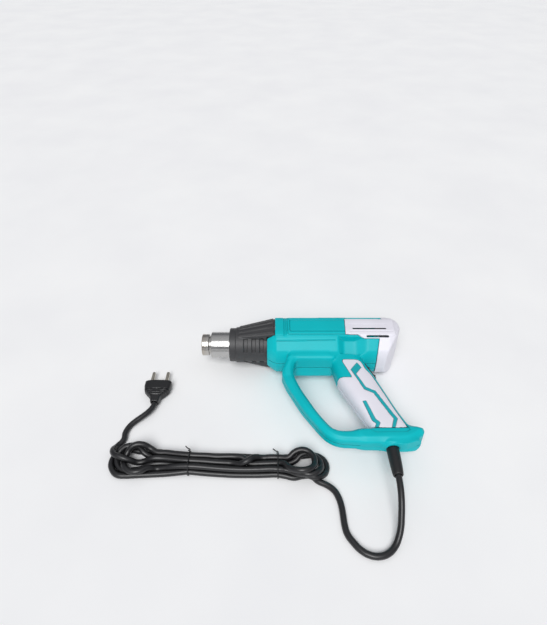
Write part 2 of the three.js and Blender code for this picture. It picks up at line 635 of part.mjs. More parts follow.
const magnet = (side) => cut(
  turned([
    [MAGNET_X[0], MAGNET_R[0]], [MAGNET_X[0], MAGNET_R[1]], [MAGNET_X[1], MAGNET_R[1]],
    [MAGNET_X[1], MAGNET_R[0]], [MAGNET_X[0], MAGNET_R[0]],
  ], 32),
  block([0, -30, -9], [BACK_OUT, 30, 9]),
  block([0, -30, side > 0 ? -30 : -1], [BACK_OUT, 30, side > 0 ? 1 : 30]),
);
add("motor_magnet_1", magnet(1), DULL_STEEL);
add("motor_magnet_2", magnet(-1), DULL_STEEL);
add("motor_shaft", rod(FAN_X - 1, MOTOR_BACK_X + 3, SHAFT_R, 12), STEEL);

function armature() {
  const [front, back] = [MOTOR_X + 10, MOTOR_X + 38];
  const bore = SHAFT_R + GAP;
  const coreR = 11.6;
  const commutatorR = 4.6;
  let core = turned([[front, bore], [front, coreR], [back, coreR], [back, bore], [front, bore]], 30);
  for (let i = 0; i < 5; i++) {
    core = cut(core, block([front - 1, 5.5, -1], [back + 1, 14, 1]).rotate([i * 72, 0, 0]));
  }
  const commutator = turned([
    [back - 0.5, 2], [back - 0.5, commutatorR], [back + 7, commutatorR], [back + 7, 2], [back - 0.5, 2],
  ], 20);
  return join(core, commutator);
}
add("motor_armature", armature(), BRASS);

function pieceScrew(headR, shankR, headLength, shankLength) {
  const tip = headLength + shankLength;
  const shape = [[0, 0], [0, headR], [headLength, headR], [headLength, shankR], [tip, shankR], [tip, 0]];
  const driverSlot = block([-1, -headR, -0.4], [0.8, headR, 0.4]);
  return cut(turned(shape, 14), driverSlot);
}
MOTOR_SCREW_Y.forEach((y, i) => {
  add("motor_screw_" + (i + 1), pieceScrew(2.8, 1.1, 2, 8).translate([SHROUD_BACK_X - 2.7, y, 0]), STEEL);
});
add("rectifier_board", cut(
  block([MOTOR_BACK_X + 6, -14, -14], [MOTOR_BACK_X + 7.6, 14, 14]),
  rod(MOTOR_BACK_X + 5, MOTOR_BACK_X + 9, 5, 16),
), BRASS);

// ---------- switch ----------
const SWITCH_DEPTH = 20;
const SWITCH_PROUD = 1.2; // how far the rim stands out of the handle's back
function switchBody() {
  const [long, wide] = [SWITCH_HALF_LENGTH, SWITCH_HALF_WIDTH];
  const rim = 1.6;
  const wellFloor = -9;
  const shell = block([-SWITCH_DEPTH, -long, -wide], [SWITCH_PROUD, long, wide]);
  return cut(shell, block([wellFloor, -long + rim, -wide + rim], [4, long - rim, wide - rim]));
}
add("switch_body", atRocker(switchBody()), BLACK);

// A three-way rocker, dished along its top, tilting about a line parallel to Z.
function switchRocker() {
  const dish = [[2.6, -8.6], [4.2, -8], [1.9, -4], [1.2, 0], [1.9, 4], [4.2, 8], [2.6, 8.6]];
  return plate([...dish, [-3.4, 5], [-3.4, -5]], -6, 6);
}
add("switch_rocker", atRocker(switchRocker()), BLACK);

// ---------- lead entry ----------
// A round piece about a line parallel to Y through the lead's way out.
function turnedY(profile, sides) {
  const g = new THREE.LatheGeometry(profile.map(([y, r]) => new THREE.Vector2(r, y)), sides);
  g.translate(SLEEVE_X, 0, 0);
  return facingOut(g);
}
const SLEEVE_TIP_R = 5.6;
const sleeveForm = turnedY([
  [FLANGE_Y[1], 0], [FLANGE_Y[1], FLANGE_R], [FLANGE_Y[0], FLANGE_R], [FLANGE_Y[0], SLEEVE_R],
  [FOOT_BOTTOM_Y - 6, SLEEVE_R], [SLEEVE_END_Y, SLEEVE_TIP_R], [SLEEVE_END_Y, 0],
], 20);
const sleeveBore = yRod(SLEEVE_X, SLEEVE_END_Y - 1, -140, CORD_R + GAP, CORD_R + GAP, 16);
add("strain_relief", cut(sleeveForm, sleeveBore), RUBBER);
add("cord_inner", yRod(SLEEVE_X, SLEEVE_END_Y + 2, -141, CORD_R, CORD_R, 12), RUBBER);
const CLAMP_TOP = CORD_R + 2.4;
add("cord_clamp", cut(
  block([SLEEVE_X - 8.6, CLAMP_Y[0], 1], [SLEEVE_X + 8.6, CLAMP_Y[1], CLAMP_TOP]),
  yRod(SLEEVE_X, -160, -140, CORD_R + GAP),
  ...CLAMP_SCREW_X.map((x) => pin(x, CLAMP_MIDDLE, 0, 12, 1.5)),
), BLACK);
CLAMP_SCREW_X.forEach((x, i) => {
  const shank = pin(x, CLAMP_MIDDLE, -6, CLAMP_TOP + 1, 1.1, 12);
  const head = pin(x, CLAMP_MIDDLE, CLAMP_TOP + GAP, CLAMP_TOP + GAP + 1.6, 2.1, 12);
  add("clamp_screw_" + (i + 1), join(shank, head), STEEL);
});

// The two inner wires: one to the switch, one past it to the motor.
const WIRE_R = 1.2;
add("wire_live", tube([
  [129, -139.6, 2.5], [123, -130, 2.5], [117, -116, 2.5], [106, -90, 2.5], [101.5, -78, 2.5],
  [100.6, -71, 2.5],
], WIRE_R, 6, 12), COPPER_RED);
add("wire_neutral", tube([
  [128, -139.6, -3], [120, -128, -3], [112, -108, -3], [101, -82, -3], [95, -66, -3], [94, -52, -3],
  [97, -38, -3], [103, -27, -3],
], WIRE_R, 6, 16), BLUE);

// ---------- housing screws ----------
SCREWS.forEach(([x, y, seat, tip], i) => {
  const head = pin(x, y, -seat - GAP - 2.4, -seat - GAP, SCREW_HEAD_R, 14);
  const shank = pin(x, y, -seat - GAP - 1, tip, SCREW_R - 0.1, 10);
  add("housing_screw_" + (i + 1), join(head, shank), STEEL);
});

// ---------- mains lead ----------
// The lead leaves the foot, drops to the floor and runs back under the loop into a tied hank.
const HANK_FOLD = [-169, -161, 21.5]; // the fold at the far end: centre and radius
const HANK_NECK = [44, -168.5, 20.5]; // the fold at the near end
const HANK_TOP = 25; // its height above the floor
const TIE = 1.3; // thickness of a wire tie
const LEAD_ROUTE = [
  [SLEEVE_X, SLEEVE_END_Y - GAP, 0], [SLEEVE_X, -214, -3], [130.5, -230, -12], [128, -244, -23],
  [122, -256, CORD_Z + 1.5], [111, -265, CORD_Z], [97, -266, CORD_Z], [84, -258, CORD_Z],
  [75, -244, CORD_Z], [73, -228, CORD_Z], [73.5, -212, CORD_Z], [73, -203, CORD_Z],
  [69.5, -193.5, CORD_Z], [59, -183.8, CORD_Z],
];
add("cord_lead", tube(LEAD_ROUTE, CORD_R, 8, 24), RUBBER);

function hankSolid() {
  const shape = new THREE.Shape();
  shape.absarc(HANK_NECK[0], HANK_NECK[1], HANK_NECK[2], -Math.PI / 2, Math.PI / 2);
  shape.absarc(HANK_FOLD[0], HANK_FOLD[1], HANK_FOLD[2], Math.PI / 2, 1.5 * Math.PI);
  const depth = HANK_TOP - TIE - GAP;
  const g = new THREE.ExtrudeGeometry(shape, { depth, bevelEnabled: false, curveSegments: 8 });
  return solid(g.translate(0, 0, TIE + GAP - LIE));
}
add("cord_hank", hankSolid(), RUBBER);

// The two wire ties, each a loop round the hank where it lies.
const TIES = [-96, 5];
TIES.forEach((x, i) => {
  const share = (x - HANK_FOLD[0]) / (HANK_NECK[0] - HANK_FOLD[0]);
  const [, y, r] = HANK_FOLD.map((v, k) => v + share * (HANK_NECK[k] - v));
  const reach = r + 2 * GAP;
  const top = HANK_TOP + GAP - LIE;
  const outer = block([x - TIE / 2, y - reach - TIE, -LIE], [x + TIE / 2, y + reach + TIE, top + TIE]);
  const inner = block([x - TIE, y - reach, TIE - LIE], [x + TIE, y + reach, top]);
  add("cord_tie_" + (i + 1), cut(outer, inner), RUBBER);
});

const PLUG_AT = [-152, -78]; // rear end of the plug
const PLUG_Z = 7 + GAP - LIE; // height of its middle
const PIN_R = 2.4;
const PIN_PITCH = 19;
const PLUG_LENGTH = 34;
const TAIL_ROUTE = [
  [-177.2, -139.5, CORD_Z], [-179.2, -131, CORD_Z], [-179.6, -119, CORD_Z], [-174, -108, CORD_Z + 1],
  [-164.5, -99.5, CORD_Z + 2.5], [-156, -91, PLUG_Z], [PLUG_AT[0], PLUG_AT[1] - 4, PLUG_Z],
  [PLUG_AT[0], PLUG_AT[1] - GAP * 2, PLUG_Z],
];
add("cord_tail", tube(TAIL_ROUTE, CORD_R, 8, 12), RUBBER);

// A two-pin plug lying flat, its pins pointing towards +Y.
function plugBody() {
  const right = [[5, 0], [6.5, 8], [15.5, 16], [17.5, 26], [17.5, PLUG_LENGTH]];
  const left = right.map(([x, y]) => [-x, y]).reverse();
  const body = plate([...right, ...left], -7, 7, 2.5).translate([...PLUG_AT, PLUG_Z]);
  const holeR = PIN_R + GAP;
  const pinHoles = [-1, 1].map((k) => yRod(PLUG_AT[0] + (k * PIN_PITCH) / 2,
    PLUG_AT[1] + PLUG_LENGTH - 12, PLUG_AT[1] + PLUG_LENGTH + 1, holeR, holeR, 14, PLUG_Z));
  return cut(body, ...pinHoles);
}
add("plug_body", plugBody(), RUBBER);
[-1, 1].forEach((k, i) => {
  const y = PLUG_AT[1] + PLUG_LENGTH;
  const x = PLUG_AT[0] + (k * PIN_PITCH) / 2;
  add("plug_pin_" + (i + 1), join(
    yRod(x, y - 11, y + 18, PIN_R, PIN_R, 14, PLUG_Z),
    yRod(x, y + 17.9, y + 19, PIN_R, PIN_R - 0.9, 14, PLUG_Z),
  ), STEEL);
});

// ---------- the part's own frame ----------
// The origin is under the middle of the gun itself, on the floor that it lies on.
const ON_THE_LEAD = /^(cord_lead|cord_hank|cord_tail|cord_tie_|plug_)/;
const gunBox = new THREE.Box3();
gun.children.filter((mesh) => !ON_THE_LEAD.test(mesh.name)).forEach((mesh) => gunBox.expandByObject(mesh));
const gunMiddle = gunBox.getCenter(new THREE.Vector3());
gun.position.set(-gunMiddle.x, -gunMiddle.y, -gunBox.min.z);
export default gun;
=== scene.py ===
# %% [markdown]
# # A hot-air gun, its mains lead and its plug
# The engineering model gives every piece its place. This script puts a finished look on each of
# them: moulded plastic, soft rubber, brushed steel and a lead that lies in a tied hank. All shapes
# are drawn in millimetres about the barrel's own axis, with the nozzle towards minus X, and one
# function moves them into the model's frame.

# %% Load the engineering model
import math

import bpy
import numpy as np
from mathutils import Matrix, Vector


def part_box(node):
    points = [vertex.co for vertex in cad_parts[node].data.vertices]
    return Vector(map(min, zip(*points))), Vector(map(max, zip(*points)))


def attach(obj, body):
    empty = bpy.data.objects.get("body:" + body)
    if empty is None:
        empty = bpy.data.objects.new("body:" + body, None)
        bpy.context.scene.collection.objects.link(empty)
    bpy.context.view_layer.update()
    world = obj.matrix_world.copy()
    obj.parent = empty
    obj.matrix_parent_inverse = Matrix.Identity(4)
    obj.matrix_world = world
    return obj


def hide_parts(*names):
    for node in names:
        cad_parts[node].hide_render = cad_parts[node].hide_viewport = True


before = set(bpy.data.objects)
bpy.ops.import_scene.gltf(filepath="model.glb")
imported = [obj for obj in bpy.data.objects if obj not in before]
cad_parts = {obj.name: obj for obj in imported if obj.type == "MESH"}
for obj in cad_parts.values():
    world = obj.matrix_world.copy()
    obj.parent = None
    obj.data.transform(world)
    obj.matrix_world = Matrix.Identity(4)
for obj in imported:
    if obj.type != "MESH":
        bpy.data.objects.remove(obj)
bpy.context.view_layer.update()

import openvdb
from mathutils import Vector

MM = 0.001
mouth_low, mouth_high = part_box("nozzle_mouth")
MOUTH_X = -96.0  # where the nozzle ends, along the axis
mouth_middle = (mouth_low + mouth_high) / 2
AXIS = Vector((mouth_low.x - MOUTH_X * MM, mouth_middle.y, mouth_middle.z))
FLOOR_Z = -AXIS.z / MM


def placed(point):
    """A point in millimetres about the barrel's axis, as a place in the model's frame."""
    return AXIS + Vector(point) * MM


print("the barrel's axis is", round(AXIS.z / MM, 1), "mm above the floor")

# %% [markdown]
# ## Camera
# The gun lies on its side and is seen from a little over arm's length away, from the handle's
# side, looking down at fifty degrees. A wide lens that close is what makes the near hank look
# larger than the far barrel, so the distance matters as much as the angle.

# %% Set the camera up
CAMERA_AT = (0, -476.5, 457)
LOOK_DOWN = 50
LENS_MM, SENSOR_MM = 27.88, 36
camera_data = bpy.data.cameras.new("studio_camera")
camera_data.lens, camera_data.sensor_width = LENS_MM, SENSOR_MM
camera_data.clip_start = 0.01
camera = bpy.data.objects.new("studio_camera", camera_data)
camera.location = placed(CAMERA_AT)
camera.rotation_euler = (math.radians(LOOK_DOWN), 0, 0)
bpy.context.scene.collection.objects.link(camera)
bpy.context.scene.camera = camera
print("camera", round(camera.location.z, 3), "m above the floor")

# %% [markdown]
# ## Making a piece
# Each piece is a mesh of points and faces. The same steps follow for all of them: smooth the
# shading but keep real edges sharp, hand over a finish, tie the piece to the moving body that
# carries it, and hide the engineering solids that it stands for.


# %% One function for every finished piece
SHARP_ANGLE = math.radians(40)


def finish_piece(piece, material, replaces=(), body="gun"):
    """Gives a piece its finish and ties it to the model."""
    piece.data.materials.clear()
    piece.data.materials.append(material)
    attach(piece, body)
    if replaces:
        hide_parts(*replaces)
    return piece


def mesh_piece(name, points, corners, starts):
    """A mesh from points in millimetres, the corner list of its faces and where each face starts."""
    mesh = bpy.data.meshes.new(name)
    mesh.vertices.add(len(points))
    mesh.loops.add(len(corners))
    mesh.polygons.add(len(starts))
    places = np.asarray(points, float) * MM + np.array(AXIS)
    mesh.vertices.foreach_set("co", places.astype(np.float32).ravel())
    mesh.loops.foreach_set("vertex_index", np.asarray(corners, np.int32))
    mesh.polygons.foreach_set("loop_start", np.asarray(starts, np.int32))
    mesh.update(calc_edges=True)
    mesh.validate()
    mesh.shade_smooth()
    mesh.set_sharp_from_angle(angle=SHARP_ANGLE)
    piece = bpy.data.objects.new(name, mesh)
    bpy.context.scene.collection.objects.link(piece)
    return piece


# %% [markdown]
# ## Finishes
# A finish starts from its real colour, written as the hex value a designer would give, and from
# how its surface was made. Light is worked out in linear values, so one function turns the hex
# colour into those. A second small function adds a node, sets it and links it.


# %% Colours and nodes
def colour(hex_value):
    """An sRGB hex colour as linear red, green, blue and a full alpha."""
    parts = [int(hex_value[i:i + 2], 16) / 255 for i in (1, 3, 5)]
    return [c / 12.92 if c <= 0.04045 else ((c + 0.055) / 1.055) ** 2.4 for c in parts] + [1]


def grey(value):
    """A share from nought to one, as the colour that a node's ramp holds."""
    return (value, value, value, 1)


def add(material, kind, inputs=None, out=0, stops=None, **settings):
    """Adds one node with its settings and links, and gives back one of its outputs."""
    made = material.node_tree.nodes.new("ShaderNode" + kind)
    for name, value in settings.items():
        setattr(made, name, value)
    for name, value in (inputs or {}).items():
        if isinstance(value, bpy.types.NodeSocket):
            material.node_tree.links.new(value, made.inputs[name])
        else:
            made.inputs[name].default_value = value
    for i, (place, shade) in enumerate(stops or []):
        stop = made.color_ramp.elements[i] if i < 2 else made.color_ramp.elements.new(place)
        stop.position, stop.color = place, shade
    return made.outputs[out]


def new_finish(name):
    """An empty material with its surface shader, and the place in metres of each point on it."""
    material = bpy.data.materials.new(name)
    material.use_nodes = True
    place = add(material, "TexCoord", out="Object")
    return material, material.node_tree.nodes["Principled BSDF"], place


def wire(material, shader, **sockets):
    """Links or sets the surface shader's sockets; an underscore in a name stands for a space."""
    for name, value in sockets.items():
        socket = shader.inputs[name.replace("_", " ")]
        if isinstance(value, bpy.types.NodeSocket):
            material.node_tree.links.new(value, socket)
        else:
            socket.default_value = value


# %% [markdown]
# Moulded plastic copies its tool. The tool is spark-eroded, which leaves a fine even grain that
# spreads the highlight, and over larger distances the wall sinks by a hair, so a long highlight
# wavers. Handling polishes the corners. Each of those is one pattern here: fine noise for grain,
# broad noise for sink and the mesh's own corners for polish. Nearness to other surfaces darkens
# the creases towards a darker colour, which is painted shade.


# %% A moulded finish
SINK_MM = 38  # how far apart the wall's broad waves are
SINK_DEPTH = 0.6
SINK_TONE = 1.06  # how much lighter the plastic is in some places than in others
SHADE_REACH_MM = 2.5  # how near another surface has to be for a crease to get painted shade
POLISHED = 0.45  # how far handling has worn a corner


# The third colour is the painted shade that the creases are darkened to.
def moulded(name, shade, worn, painted_crease_shade, roughness, ior, grain_mm=0.9, grain_depth=0.035, shine=0.5):
    """Moulded plastic or rubber. The grain is coarser than the real 0.2 mm, to be seen at all."""
    material, shader, place = new_finish(name)
    grain = add(material, "TexNoise", {"Vector": place, "Scale": 1 / (grain_mm * MM), "Detail": 2.0})
    sink = add(material, "TexNoise", {"Vector": place, "Scale": 1 / (SINK_MM * MM), "Detail": 1.0})
    lighter = [c * SINK_TONE for c in colour(shade)[:3]] + [1]
    drift = add(material, "ValToRGB", {"Fac": sink}, stops=[(0.3, colour(shade)), (0.7, lighter)])
    corners = add(material, "NewGeometry", out="Pointiness")
    polish = add(material, "ValToRGB", {"Fac": corners}, stops=[(0.52, grey(0)), (0.6, grey(POLISHED))])
    # A colour mix has its two colours on its seventh and eighth sockets.
    polished = add(material, "Mix", {0: polish, 6: drift, 7: colour(worn)}, out=2, data_type="RGBA")
    # Painted shade: where other surfaces are near, the colour is pulled towards the crease colour.
    near = add(material, "AmbientOcclusion", {"Distance": SHADE_REACH_MM * MM}, out="AO", samples=4)
    painted_shade = add(material, "ValToRGB", {"Fac": near}, stops=[(0.35, grey(1)), (0.9, grey(0))])
    with_painted_shade = add(material, "Mix", {0: painted_shade, 6: polished, 7: colour(painted_crease_shade)}, out=2, data_type="RGBA")
    gloss = add(material, "MapRange", {
        "Value": grain, "To Min": roughness - 0.06, "To Max": roughness + 0.08})
    waver = add(material, "Bump", {"Height": sink, "Strength": 0.25, "Distance": SINK_DEPTH * MM})
    bump = add(material, "Bump", {
        "Height": grain, "Strength": 0.5, "Distance": grain_depth * MM, "Normal": waver})
    wire(material, shader, Base_Color=with_painted_shade, Roughness=gloss, IOR=ior, Normal=bump,
         Specular_IOR_Level=shine)
    return material


# %% [markdown]
# Two finishes are needed before the lead: its own sheath, and the pale floor it lies on. The
# sheath is soft black PVC drawn through a die, so it is smoother along than moulded rubber, with
# a low sheen. The floor is painted board, close to white, with a faint mottle.

# %% Sheath and floor finishes
PVC_SHEATH = moulded(
    "soft_pvc_sheath", "#19191B", "#303034", "#0A0A0B", 0.36, 1.53, grain_mm=2.2, grain_depth=0.05)
FLOOR_BOARD, floor_shader, floor_place = new_finish("painted_board")
mottle = add(FLOOR_BOARD, "TexNoise", {"Vector": floor_place, "Scale": 6.0, "Detail": 3.0})
pale = add(FLOOR_BOARD, "ValToRGB", {"Fac": mottle}, stops=[
    (0.3, colour("#F3F3F4")), (0.7, colour("#F8F8F8"))])
wire(FLOOR_BOARD, floor_shader, Base_Color=pale, Roughness=0.8)

# %% [markdown]
# ## Floor and light
# Plain soft studio light. A broad source, high and towards the viewer, gives the facets that face
# up and forwards the brightest tone. The room fills the shadows: its ceiling is white and its upper
# walls are darker, and polished steel needs that contrast to look like steel.

# %% Lay the floor and hang the lights
bpy.ops.mesh.primitive_plane_add(size=30, location=(0, 0, 0))
floor = bpy.context.object
floor.name = "studio_floor"
floor.data.materials.append(FLOOR_BOARD)
key_data = bpy.data.lights.new("soft_key", "SUN")
key_data.energy, key_data.angle = 2.3, 0.6
key = bpy.data.objects.new("soft_key", key_data)
key.rotation_euler = (math.radians(40), math.radians(-8), 0)
bpy.context.scene.collection.objects.link(key)
room = bpy.data.worlds.new("pale_room")
room.use_nodes = True
height = add(room, "SeparateXYZ", {0: add(room, "TexCoord", out="Generated")}, out="Z")
tone = add(room, "ValToRGB", {"Fac": height}, stops=[
    (0.1, colour("#E4E6EA")), (0.3, colour("#85878C")), (0.5, colour("#96989D")), (0.9, colour("#FBFCFF"))])
background = room.node_tree.nodes["Background"]
room.node_tree.links.new(tone, background.inputs["Color"])
background.inputs["Strength"].default_value = 0.6
bpy.context.scene.world = room
bpy.context.scene.view_settings.view_transform = "Standard"

# %% [markdown]
# ## The mains lead
# About two metres of round three-core lead, 7 mm thick. It leaves the foot through a sleeve,
# drops to the floor, turns back under the loop and is folded to and fro into a hank, with two
# wire ties round it. Drawing seven runs by hand would leave them inside each other, so the script
# starts from a flat racetrack and lets the points settle: they fall, push each other a diameter
# apart, keep their spacing and stay between the ties, as the real folds did.

# %% Route of the lead before it settles
CORD_R = 3.5
CORD_Z = FLOOR_Z + CORD_R
SLEEVE_X = 131
SLEEVE_END_Y = -198
SLEEVE_R, SLEEVE_FLANGE_R = 7, 9
FOLD = (-169, -161, 17.5)
NECK = (44, -168.5, 16.5)
TIE_X = (-96, 5)
LEAD = [(131, -198.6, 0), (131, -206, -0.6), (131, -214, -3), (130.5, -222, -7), (130, -230, -12),
        (129, -237, -17.5), (128, -244, -23), (125.5, -250, -27.5), (122, -256, CORD_Z + 1),
        (117, -261.5, CORD_Z), (111, -265, CORD_Z), (104, -266.5, CORD_Z), (97, -266, CORD_Z),
        (90, -263, CORD_Z), (84, -258, CORD_Z), (79, -251, CORD_Z), (75, -244, CORD_Z),
        (73.5, -236, CORD_Z), (73, -228, CORD_Z), (73, -220, CORD_Z)]
LEAD_IN = [(73.5, -212, CORD_Z), (73, -203, CORD_Z), (70, -194, CORD_Z), (63, -187, CORD_Z),
           (54, -184, CORD_Z)]
LEAD_OUT = [(-183, -148, CORD_Z + 10), (-180.5, -139, CORD_Z + 4)]
TAIL = [(-179.2, -131, CORD_Z), (-179.6, -125, CORD_Z), (-179.4, -119, CORD_Z), (-177.5, -113, CORD_Z),
        (-174, -108, CORD_Z + 0.6), (-169.5, -103.5, CORD_Z + 1.6), (-164.5, -99.5, CORD_Z + 2.6),
        (-159.6, -95.6, CORD_Z + 3.5), (-156, -91, CORD_Z + 3.8), (-153.2, -86.5, CORD_Z + 3.8),
        (-152, -82, CORD_Z + 3.8), (-152, -78.6, CORD_Z + 3.8)]


def fold_arc(end, start_degrees, turn_degrees, radius, height):
    """Points round one fold of the hank."""
    angles = [math.radians(start_degrees + turn_degrees * i / 8) for i in range(9)]
    return [(end[0] + radius * math.cos(a), end[1] + radius * math.sin(a), height) for a in angles]


def spine(x):
    """Height across the floor of the bundle's middle, which lies a little askew."""
    return FOLD[1] + (x - FOLD[0]) / (NECK[0] - FOLD[0]) * (NECK[1] - FOLD[1])


BESIDE = (10.8, 3.6, 7.2, 0.0)  # how far each turn's runs lie from the bundle's middle
STAGGER = 6.5  # each fold stops short of the last, so that it can lie on it
LAYER = 6.6  # how far each turn starts above the last
RUN_X = (15, -30, -80, -120)


def racetrack():
    """Seven runs between the two folds, each turn laid on the last; the sixth crosses over."""
    route = list(LEAD_IN)
    for turn, beside in enumerate(BESIDE):
        low, high = CORD_Z + LAYER * turn, CORD_Z + LAYER * (turn + 0.5)
        start = 1 if turn == 3 else -1
        route += [(x, spine(x) + side * beside, low)
                  for x, side in zip(RUN_X, (start, start * 0.6, -1, -1))]
        left = (FOLD[0] + STAGGER * turn, FOLD[1])
        if turn == 3:
            return route + fold_arc(left, 270, -90, FOLD[2], low)[:-1]
        route += fold_arc(left, 270, -180, FOLD[2], low)
        across = -1 if turn == 2 else 1
        route += [(x, spine(x) + side * max(beside, 3), high)
                  for x, side in zip(RUN_X[::-1], (1, 1, 0.2 if turn == 2 else 1, across))]
        right = (NECK[0] - STAGGER * turn, NECK[1])
        route += fold_arc(right, 90 * across, -180 * across, NECK[2], high)


def evenly(points, gap):
    """The same line with points a gap apart."""
    line = np.asarray(points, float)
    along = np.concatenate([[0], np.cumsum(np.linalg.norm(np.diff(line, axis=0), axis=1))])
    stations = np.linspace(0, along[-1], max(2, round(along[-1] / gap)) + 1)
    return np.stack([np.interp(stations, along, line[:, k]) for k in range(3)], axis=1)


SPACING = 5.0
loose = evenly(racetrack() + LEAD_OUT, SPACING)
print("the hank starts as", len(loose), "free points")

# %% [markdown]
# Settling is done with positions only. Each pass moves every point down a little, restores the
# spacing, and pushes apart any two stretches nearer than a diameter. Points a few steps along from
# each other are also kept as far apart as they are on a fold of the tightest radius that the lead
# takes, which is what makes it stiff. The ends are held.

# %% Let the hank settle
PITCH = 2 * CORD_R + 0.2  # the least distance between two runs
BEND_R = 16.0  # the tightest bend that the lead takes
STIFF_STEPS = 8  # how many points along the stiffness reaches
PASSES, TRIES = 500, 5
FALL = 0.22  # how far every point drops in a pass
PUSH_SHARE, LONGEST_PUSH = 0.6, 0.8
NEAR = 3  # stretches this much further apart than they need are watched too
FREE_START, FREE_END = 9, 5  # points at the hank's ends that the ties don't hold in
BUNDLE_X = (FOLD[0], -128, TIE_X[0], -45, TIE_X[1], NECK[0])
BUNDLE_HALF = (FOLD[2], 14, 10.6, 12, 10.6, NECK[2])
TIE_LIFT, TIE_REACH = 1.5, 16  # the wire and the twist keep the runs off the floor near a tie


def settle(free):
    """The free points at rest, between a held start and a held end."""
    before, after = evenly(LEAD, SPACING), evenly(TAIL, SPACING)
    line = np.concatenate([before, free, after])
    index = np.arange(len(line))
    held = (index < len(before)) | (index >= len(line) - len(after))
    wound = (index >= len(before) + FREE_START) & (index < len(line) - len(after) - FREE_END)
    lag = np.abs(index[:, None] - index[None, :])
    need = 2 * BEND_R * np.sin(np.minimum(lag, STIFF_STEPS) * SPACING / (2 * BEND_R))
    need = np.where(lag > STIFF_STEPS, PITCH, np.where(lag < 2, 0, need))
    need = need * (index[:, None] < index[None, :])
    for step in range(PASSES):
        old = line.copy()
        if step % 5 == 0:
            near = np.linalg.norm(line[None, :] - line[:, None], axis=2) < need + NEAR
            i, j = np.nonzero(near & (need > 0))
        line[:, 2] -= FALL
        for _ in range(TRIES):
            gap = line[j] - line[i]
            size = np.linalg.norm(gap, axis=1) + 1e-9
            shift = 0.5 * gap * (np.maximum(need[i, j] - size, 0) / size)[:, None]
            move = np.zeros_like(line)
            np.add.at(move, j, shift)
            np.add.at(move, i, -shift)
            line += np.clip(move * PUSH_SHARE, -LONGEST_PUSH, LONGEST_PUSH)
            for odd in (0, 1, 0, 1):
                a = index[odd:-1:2]
                along = line[a + 1] - line[a]
                size = np.linalg.norm(along, axis=1, keepdims=True)
                shift = 0.5 * along * (1 - SPACING / size)
                line[a] += shift
                line[a + 1] -= shift
            x, y = line[:, 0], line[:, 1]
            width = np.interp(x, BUNDLE_X, BUNDLE_HALF)
            line[:, 1] = np.where(wound, np.clip(y, spine(x) - width, spine(x) + width), y)
            line[:, 0] = np.where(wound, np.clip(x, FOLD[0] - FOLD[2], NECK[0] + NECK[2]), x)
            tie = sum(np.exp(-((x - at) / TIE_REACH) ** 2) for at in TIE_X)
            line[:, 2] = np.maximum(line[:, 2], CORD_Z + np.where(wound, TIE_LIFT * tie, 0))
            line[held] = old[held]
    return line


def bend_radius(line):
    """The tightest circle through points three steps apart."""
    a, b, c = line[:-6], line[3:-3], line[6:]
    sides = np.prod([np.linalg.norm(v, axis=1) for v in (b - a, c - b, c - a)], axis=0)
    return (sides / (2 * np.linalg.norm(np.cross(b - a, c - a), axis=1) + 1e-9)).min()


lead_line = settle(loose)
lead_length = np.linalg.norm(np.diff(lead_line, axis=0), axis=1).sum() * MM
gaps = np.linalg.norm(lead_line[None] - lead_line[:, None], axis=2)
# Points fewer than five steps along from each other are on the same run.
gaps = gaps[np.triu_indices(len(gaps), 5)]
print("lead", round(lead_length, 3), "m; nearest runs", round(gaps.min(), 2), "mm apart; top",
      round(lead_line[:, 2].max() - FLOOR_Z + CORD_R, 1), "mm above the floor; tightest bend",
      round(bend_radius(lead_line), 1), "mm")

# %% [markdown]
# The settled points become one open curve with a round section. The curve's own smoothing takes
# out the last small corners between points.


# %% Draw the lead as one curve
def round_curve(name, points, radius, closed=False, thin=1):
    """A smooth round rod through points in millimetres about the barrel's axis."""
    data = bpy.data.curves.new(name, "CURVE")
    data.dimensions = "3D"
    data.bevel_depth = radius * MM
    data.bevel_resolution = 5
    data.resolution_u = 3 * thin
    data.use_fill_caps = not closed
    kept = [*points[:-1:thin], points[-1]] if not closed else points[::thin]
    spline = data.splines.new("BEZIER")
    spline.bezier_points.add(len(kept) - 1)
    for knot, point in zip(spline.bezier_points, kept):
        knot.co = placed(point)
        knot.handle_left_type = knot.handle_right_type = "AUTO"
    spline.use_cyclic_u = closed
    piece = bpy.data.objects.new(name, data)
    bpy.context.scene.collection.objects.link(piece)
    return piece


mains_lead = round_curve("mains_lead", lead_line, CORD_R, thin=2)
finish_piece(mains_lead, PVC_SHEATH, ("cord_lead", "cord_hank", "cord_tail"))

# %% [markdown]
# ## Wire ties
# Each tie is a thin plastic-coated wire drawn tight round the bundle and twisted to itself. Its
# loop is found from the runs that it holds: in every direction it reaches as far as the furthest
# run, which is what a tight band does.


# %% Tie the hank
TIE_R = 0.65
BUNDLE_Y = (-200, -130)  # runs outside this stretch belong to the lead's free ends
TWIST_TURN, TWIST_PITCH = 1.3, 0.49  # radians and millimetres from one point of a twist to the next


def tie_loop(x):
    """A band round every run that crosses the plane at x."""
    crossings = []
    for a, b in zip(lead_line[:-1], lead_line[1:]):
        if (a[0] - x) * (b[0] - x) <= 0 and a[0] != b[0] and BUNDLE_Y[0] < a[1] < BUNDLE_Y[1]:
            crossings.append(a + (b - a) * (x - a[0]) / (b[0] - a[0]))
    centres = np.array(crossings)[:, 1:]
    angles = np.linspace(0, 2 * math.pi, 40, endpoint=False)
    rays = np.stack([np.cos(angles), np.sin(angles)], axis=1)
    reach = (centres @ rays.T).max(axis=0) + CORD_R + TIE_R
    slope = (np.roll(reach, -1) - np.roll(reach, 1)) / (2 * angles[1])
    across = np.stack([-rays[:, 1], rays[:, 0]], axis=1)
    loop = reach[:, None] * rays + slope[:, None] * across
    loop[:, 1] = np.maximum(loop[:, 1], FLOOR_Z + TIE_R)
    return len(centres), [(x, y, z) for y, z in loop]


